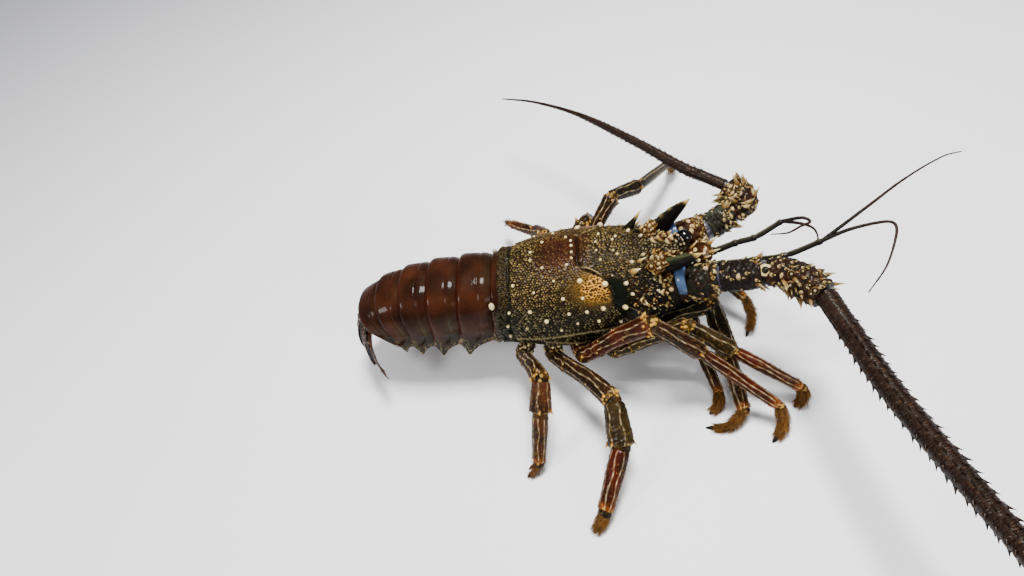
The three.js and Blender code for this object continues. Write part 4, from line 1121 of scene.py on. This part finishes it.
fringe = []
for number, (name, shape) in enumerate(BLADES.items()):
    rings, body = fan_blade(*shape, seed=110 + number)
    spikes = thorns(rings, 26, 120 + number, (0.8, 1.9), 1.4, (TAIL_MAROON, FAN_RIB, CREAM), (0.02, 0.45))
    make("fan_" + name, [body, spikes], TAIL_FINISH, [name])
    left = number / len(BLADES)
    for edge, seed, length, lean, rows, turns in (
            (0, 130 + number * 2, (1.2, 2.4), 1.2, (0.4, 0.99), (-0.03, 0.03)),
            (1, 131 + number * 2, (1.2, 2.4), 1.2, (0.4, 0.99), (0.47, 0.53)),
            (2, 150 + number, (1.4, 2.6), 2.5, (0.985, 1.0), (0, 1))):
        fringe.append(bristles(rings, 330, seed, length, lean, (left, edge * 0.33, 0.19, 0.32), rows, turns,
                               colours=(FAN_EDGE * 0.5, FAN_EDGE)))
make("fan_fringe", fringe, BRISTLE_FINISH)

# Swimmerets: four pairs of thin double leaves that hang under the hoops. They are soft, purple-brown at the
# root and paler at the hairy rim.
SWIMMERET_LONG = 21.0
LEAF_ROOT = paint(74, 40, 34)
LEAF_RIM = paint(120, 84, 62)


def swimmeret(k, side, inner):
    """A leaf-shaped blade: its half width follows a sine of the way along it, and it curves back under
    the tail."""
    share = np.linspace(0, 1, 30)
    x, z, pitch, half, height = (HOOPS[k] + HOOPS[k + 1]) / 2
    reach = SWIMMERET_LONG * (0.8 if inner else 1.0)
    start = np.array([x + 0.78 * height * np.sin(pitch), side * half * (0.5 if inner else 0.72),
                      z - 0.78 * height * np.cos(pitch)])
    path = start + np.outer(share, [-reach * 0.75, side * (-3.0 if inner else 1.5), 0])
    path[:, 2] -= reach * 0.42 * np.sin(share * 1.9)
    wide = 0.9 + (6.2 if inner else 7.2) * np.sin(np.pi * share ** 0.75) ** 0.8
    rings = sweep(path, np.repeat(wide[:, None], 20, 1), (-0.4, 0, 1), 0.08)
    return rings, solid(rings, blend(LEAF_ROOT, LEAF_RIM, (share ** 1.5)[:, None]))


leaves, down = [], []
for k, (side, inner) in itertools.product((1, 2, 3, 4), itertools.product((-1, 1), (False, True))):
    rings, body = swimmeret(k, side, inner)
    leaves.append(body)
    plot = ((k - 1) / 4, (side + 1) / 4 + inner * 0.25, 0.24, 0.24)
    for turns in ((-0.02, 0.02), (0.48, 0.52)):
        down.append(bristles(rings, 70, 170 + k * 8 + side * 2 + inner, (1.0, 2.2), 0.9, plot, rows=(0.3, 1),
                             turns=turns, width=0.08, colours=(LEAF_RIM * 0.6, LEAF_RIM)))
make("swimmerets", leaves, SKIN_FINISH)
make("swimmeret_fringe", down, BRISTLE_FINISH)

# Legs: five pairs. Each is a chain of hard tubes: a short thick hip, a ring, the thigh, the knee piece,
# the shank, and a hairy toe with a black claw. Pale wavy lines run along the dark tubes, and yellow
# nodules stand at the joints.

# Each leg: the thigh's radius, how much stouter the parts after it are, the colours of thigh, knee piece
# and shank, and the path through the hip, the ring, the knee, the ankle, the foot joint and the claw's
# tip
LEGS = {
    "right_1": (5.5, 1.15, "dark dark brown", [
        [72, -17, 28], [80, -25, 29], [131, -17, 42], [137, -45, 22], [141.4, -78, 8], [117, -84, 0]]),
    "right_2": (5.4, 1.0, "olive olive red", [
        [57, -20, 28], [65, -36, 25.5], [114, -39, 50], [138.3, -52, 38], [178, -68, 13], [173, -74, 0]]),
    "right_3": (6.0, 0.95, "red brown red", [
        [41, -22, 26], [45, -42, 33], [90.5, -46, 67], [118.5, -55, 44], [162, -80, 14], [155, -97, 0]]),
    "right_4": (5.7, 1.35, "brown olive red", [
        [23, -24, 28], [24, -36, 27], [62, -79, 36], [64, -104, 24], [50, -138, 8], [42, -147, 0]]),
    "right_5": (5.5, 1.3, "brown tan tan", [
        [6, -24, 28], [2, -33, 27], [18.6, -67, 48], [16, -83, 36], [10, -104, 8], [1, -110, 0]]),
    "left_1": (5.0, 1.0, "dark dark brown", [
        [72, 17, 28], [80, 20, 26], [117, -5, 27], [121, -33, 16], [129, -64, 7], [121, -75, 0]]),
    "left_2": (5.0, 1.0, "olive olive olive", [
        [57, 20, 28], [63, 30, 29], [106, 44, 50], [131, 22, 38], [157, 0, 20], [155, -18, 0]]),
    "left_3": (5.2, 1.0, "brown dark dark", [
        [41, 22, 26], [45, 40, 31], [75, 78, 60], [95, 95, 50], [124, 149, 22], [127, 161, 0]]),
    "left_4": (6.0, 1.0, "olive olive brown", [
        [23, 24, 28], [25, 36, 28], [53, 59, 55], [53, 80, 34], [48, 101, 9], [46, 110, 0]]),
    "left_5": (4.6, 1.1, "red brown red", [
        [6, 24, 28], [2, 34, 28], [22, 61, 46], [12, 75, 36], [-10, 97, 26], [-17, 107, 20]]),
}
LEG_COLOURS = {"dark": paint(42, 42, 28), "brown": paint(80, 54, 34), "olive": paint(84, 72, 44),
               "red": paint(104, 50, 32), "tan": paint(106, 72, 48)}
LEG_SHADE = paint(52, 38, 26)
ANKLE_RUST = paint(156, 92, 46)
STRIPE_CREAM = paint(222, 210, 180)
JOINT_YELLOW = paint(212, 182, 116)
JOINT_SKIN = paint(112, 88, 48)
TOE_OLIVE = paint(120, 84, 46)
CLAW_BLACK = paint(20, 14, 12)
STRIPES = 8
GRAIN_STEP = 1.7
THIGH_RISE = 0.035
TOE_BOW = 0.2


def leg_tube(path, knots, radii, up, seed, ground, tail_tone=None, stripes=STRIPES, lumpiness=0.05):
    """Rings of one tube and the solid through them: a narrow start, a swollen rim near its end, low
    granules, and pale lines that wave a little as they run along it. The far end may turn to another
    tone."""
    rows, sides = 60, 64
    share, turn = np.linspace(0, 1, rows), np.arange(sides) / sides
    girth = smooth(knots, radii, share)
    girth = girth * (1 - 0.25 * ramp(0.1, 0, share)) * (1 + 0.06 * hump(share, 0.9, 0.06))
    girth = girth * np.sqrt(1 - 0.96 * np.clip((share - 0.92) / 0.08, 0, 1) ** 2)
    line = curve(path, share)
    length = np.linalg.norm(np.diff(line, axis=0), axis=1).sum()
    around = 2 * round(np.pi * np.mean(radii) / GRAIN_STEP)
    places = np.meshgrid(share * length / GRAIN_STEP, turn * around, indexing="ij")
    away, own = cells(*places, seed, wrap=around)
    stripe = np.zeros((rows, sides))
    for k in range(stripes):
        place = (k + 0.5) / stripes + 0.014 * np.sin(share * (6 + k) + k * 1.7 + seed)
        gap = np.abs(np.mod(turn - place[:, None] + 0.5, 1) - 0.5) * 2 * np.pi * girth[:, None]
        broken = 0.72 + 0.28 * np.sin(share * length * 0.9 + k * 2.1 + seed)
        stripe = np.maximum(stripe, hump(gap, 0, 0.3) * broken[:, None])
    stripe = stripe * ramp(0.02, 0.1, share)[:, None]
    grain = ramp(0.48, 0.15, away) * (own > 0.5)
    rings = sweep(line, girth[:, None] * (1 + lumpiness * grain + 0.035 * stripe), up, 0.9)
    patch = mottle(rings, 14, seed)
    tone = blend(ground, LEG_SHADE, np.clip(0.35 + 0.5 * patch, 0, 1))
    if tail_tone is not None:
        tone = blend(tone, tail_tone, np.clip(ramp(0.78, 1, share)[:, None] * (0.8 + 0.4 * patch), 0, 1))
    tone = blend(tone, JOINT_YELLOW * 0.8, 0.35 * grain * (own > 0.9))
    tone = blend(tone, STRIPE_CREAM, 0.9 * stripe)
    rim = ramp(0.88, 0.96, share)[:, None] * (0.1 + 0.7 * (own > 0.6) * ramp(0.5, 0.3, away))
    return rings, solid(rings, blend(tone, JOINT_YELLOW, rim))


def square_to(line, vector):
    """The part of a vector that stands at right angles to a line."""
    return vector - line * (vector @ line) / (line @ line)


def leg(thick, stout, tints, path):
    """The three parts of a leg as lists of solids, and the rings of thigh, knee piece, shank and toe. The
    thigh arches away from the ankle, and the toe bows on from the shank."""
    hip, ring, knee, ankle, foot, toe = np.array(path, float)
    seed = int(abs(hip[0] * 3 + hip[1]))
    thigh_tint, knee_tint, shank_tint = (LEG_COLOURS[word] for word in tints.split())
    up = unit(np.cross(knee - hip, ankle - knee))
    start = ring + (knee - ring) * 0.2
    rise = THIGH_RISE * np.linalg.norm(knee - start)
    arch = (start + knee) / 2 + rise * unit(square_to(knee - ring, knee - ankle))
    wide = thick * stout
    shank_look = dict(tail_tone=ANKLE_RUST, stripes=STRIPES if hip[1] < 0 else 5)
    tubes = [
        ([beyond(ring, hip, 1), hip, beyond(hip, ring, 0.5)], [0, 0.6, 1], thick, [1.12, 1.15, 1], thigh_tint,
         dict(lumpiness=0.12)),
        ([ring, beyond(ring, start, 3)], [0, 1], thick, [0.9, 0.94], thigh_tint, {}),
        ([start, arch, beyond(arch, knee, 1)], [0, 0.35, 0.85, 1], thick, [0.92, 0.98, 1.12, 1.05],
         thigh_tint, {}),
        ([knee, beyond(knee, ankle, 1)], [0, 0.45, 0.85, 1], wide, [0.86, 1, 1.06, 0.9], knee_tint,
         dict(stripes=6)),
        ([ankle, foot], [0, 0.35, 0.8, 1], wide, [0.8, 0.78, 0.66, 0.6], shank_tint, shank_look),
    ]
    hulls, bodies = [], []
    for number, (line, knots, size, shares, tint, look) in enumerate(tubes):
        rings, body = leg_tube(line, knots, size * np.array(shares), up, seed + number, tint, **look)
        hulls.append(rings)
        bodies.append(body)
    upper, lower = bodies[:3], bodies[3:]
    for at, size, group in (
            (ring, thick * 0.9, upper), (start, thick * 0.82, upper), (knee, thick * 0.86, upper),
            (ankle, wide * 0.72, lower), (foot, wide * 0.54, lower)):
        group.append(ball(at, (size, size, size), JOINT_SKIN, LEG_SHADE, seed + 5, up, JOINT_YELLOW, 0.3))
    pale = (BLOB_CREAM * 0.7, BLOB_CREAM, CREAM)
    yellow = (BLOB_ORANGE, JOINT_YELLOW, JOINT_YELLOW)
    rust = (ANKLE_RUST * 0.6, ANKLE_RUST, JOINT_YELLOW)
    for step, (tube, count, *rest) in enumerate((
            (2, 12, (1.6, 3.4), 0.9, yellow, (0.9, 0.98), 0.42),
            (2, 12, (0.6, 1.2), 0.4, yellow, (0.1, 0.95), 0.6),
            (0, 20, (1.0, 2.2), 0.5, pale, (0.2, 0.95), 0.55),
            (3, 4, (2.0, 4.0), 1.2, yellow, (0.88, 0.96), 0.28),
            (4, 14, (0.9, 1.9), 1.2, rust, (0.88, 0.98), 0.35)), 6):
        (upper if tube < 3 else lower).append(thorns(hulls[tube], count, seed + step, *rest))

    bow = TOE_BOW * np.linalg.norm(toe - foot) * square_to(toe - foot, unit(foot - ankle))
    middle = (foot + toe) / 2 + bow
    share, turn = np.linspace(0, 1, 72), circle(40)
    radii = thick * np.array([0.5, 0.54, 0.42, 0.3, 0.14])
    girth = smooth([0, 0.3, 0.6, 0.82, 0.97, 1], [*radii, 0.25], share)
    fluting = 1 + 0.05 * np.cos(turn * 6) * ramp(0.9, 0.7, share)[:, None]
    line = curve([beyond(middle, foot, 1), foot, middle, toe], share)
    toe_rings = sweep(line, girth[:, None] * fluting, up)
    tone = blend(TOE_OLIVE, LEG_SHADE, np.clip(0.3 + 0.6 * mottle(toe_rings, 8, seed), 0, 1))
    tone = blend(tone, CLAW_BLACK, ramp(0.76, 0.84, share)[:, None])
    toe_rings[..., 2] = np.maximum(toe_rings[..., 2], 0)
    return upper, lower, [solid(toe_rings, tone)], (*hulls[2:], toe_rings)


TOE_FINISH = finish("toe", 0.5, 0.1, 0.006, 0.0006, 0.00025)
brush, fuzz = [], []
for number, (name, shape) in enumerate(LEGS.items()):
    upper, lower, claw, (thigh_rings, knee_rings, shank_rings, toe_rings) = leg(*shape)
    # The small pincer of the last pair, which only females have
    if name.endswith("5"):
        foot, end = np.array(shape[3][4:], float)
        steps = np.array([[0], [0.25], [0.5]])
        thumb = foot + (end - foot) * steps + np.array([-4.0, 0, 1.5]) * steps ** 0.5
        share = np.linspace(0, 1, 24)
        width = smooth([0, 0.3, 0.7, 1], [1.7, 1.5, 0.9, 0.3], share)
        lower.append(solid(sweep(curve(thumb, share), np.repeat(width[:, None], 24, 1)), LEG_COLOURS["red"]))
    make("leg_upper_" + name, upper, LEG_FINISH, [f"leg_{name}_upper"])
    make("leg_shank_" + name, lower, LEG_FINISH, [f"leg_{name}_shank"])
    make("toe_claw_" + name, claw, TOE_FINISH, [f"leg_{name}_dactyl"])
    left = number / len(LEGS)
    tufted = 120 if name.endswith("5") else 1000
    reach = (3.2, 6.0) if name == "left_3" else (1.8, 3.8)
    hairy = 800 if name == "right_1" else 200
    brush.append(bristles(toe_rings, tufted, 200 + number, reach, 1.3, (left, 0, 0.09, 0.98), (0.02, 0.8)))
    for rings, count, seed, length, lean, bottom, high, rows in (
            (shank_rings, 360, 220, (0.9, 2.0), 1.6, 0, 0.5, (0.3, 1)),
            (knee_rings, hairy, 240, (1.0, 2.2), 1.4, 0.5, 0.24, (0.2, 1)),
            (thigh_rings, 220, 260, (0.8, 1.7), 1.4, 0.75, 0.24, (0.1, 1))):
        fuzz.append(bristles(rings, count, seed + number, length, lean, (left, bottom, 0.09, high), rows))
# No hair goes under the floor
for hairs in brush + fuzz:
    hairs[0][:, 2] = np.maximum(hairs[0][:, 2], 0.02)
make("toe_brushes", brush, BRISTLE_FINISH)
make("leg_hairs", fuzz, BRISTLE_FINISH)

# Floor, light and camera: a pale floor, soft studio light from above and the sides, and a camera where
# the photograph was taken from, looking down on the right side of the animal.
FLOOR_HALF = 6.0
FLOOR_WHITE = (0.86, 0.86, 0.88, 1)
SKY_WHITE = (0.93, 0.95, 1.0, 1)
SKY_STRENGTH = 0.38
# Each lamp: its place and its size in metres, and its power in watts
LAMP_TARGET = (0, 0, 0.05)
LAMPS = {
    "overhead softbox": ((0.1, 0.25, 1.1), 0.3, 29),
    "window side": ((-1.0, -0.5, 0.8), 0.3, 11),
    "front fill": ((0.9, -0.9, 0.6), 0.5, 8),
}
CAMERA_AT = (78.7, -266.9, 383.4)
CAMERA_RIGHT = (0.9767, 0.02804, -0.21278)
CAMERA_DOWN = (-0.11202, -0.77905, -0.61687)
CAMERA_AHEAD = (-0.18306, 0.62634, -0.75775)
FOCAL_PIXELS = 620.214
PICTURE_WIDTH = 1024
SENSOR_WIDTH = 36.0


def floor():
    """A flat square sheet under the model, painted plain white."""
    mesh = bpy.data.meshes.new("floor")
    corners = [(x * FLOOR_HALF, y * FLOOR_HALF, 0) for x, y in ((-1, -1), (1, -1), (1, 1), (-1, 1))]
    mesh.from_pydata(corners, [], [(0, 1, 2, 3)])
    material = bpy.data.materials.new("floor paint")
    material.use_nodes = True
    shader = material.node_tree.nodes["Principled BSDF"]
    shader.inputs["Base Color"].default_value = FLOOR_WHITE
    shader.inputs["Roughness"].default_value = 0.55
    mesh.materials.append(material)
    sheet = bpy.data.objects.new("floor", mesh)
    bpy.context.collection.objects.link(sheet)


def lamp(name, place, size, power):
    """A square soft light at a place, turned to face the model."""
    data = bpy.data.lights.new(name, "AREA")
    data.shape = "SQUARE"
    data.size = size
    data.energy = power
    light = bpy.data.objects.new(name, data)
    away = unit(np.subtract(place, LAMP_TARGET))
    side = unit(np.cross([0.01, 1.0, 0.0], away))
    matrix = np.eye(4)
    matrix[:3] = np.stack([side, np.cross(away, side), away, place], 1)
    light.matrix_world = matrix.T
    bpy.context.collection.objects.link(light)


def camera():
    """The camera: its axes are the picture's right, up and backward directions."""
    data = bpy.data.cameras.new("camera")
    data.sensor_width = SENSOR_WIDTH
    data.lens = FOCAL_PIXELS / PICTURE_WIDTH * SENSOR_WIDTH
    data.clip_start = 0.01
    eye = bpy.data.objects.new("camera", data)
    matrix = np.eye(4)
    up, backward = np.negative(CAMERA_DOWN), np.negative(CAMERA_AHEAD)
    matrix[:3] = np.stack([CAMERA_RIGHT, up, backward, placed(CAMERA_AT)], 1)
    eye.matrix_world = matrix.T
    bpy.context.collection.objects.link(eye)
    bpy.context.scene.camera = eye


floor()
for name, (place, size, power) in LAMPS.items():
    lamp(name, place, size, power)
world = bpy.data.worlds.new("studio")
world.use_nodes = True
sky = world.node_tree.nodes["Background"]
sky.inputs["Color"].default_value = SKY_WHITE
sky.inputs["Strength"].default_value = SKY_STRENGTH
bpy.context.scene.world = world
camera()
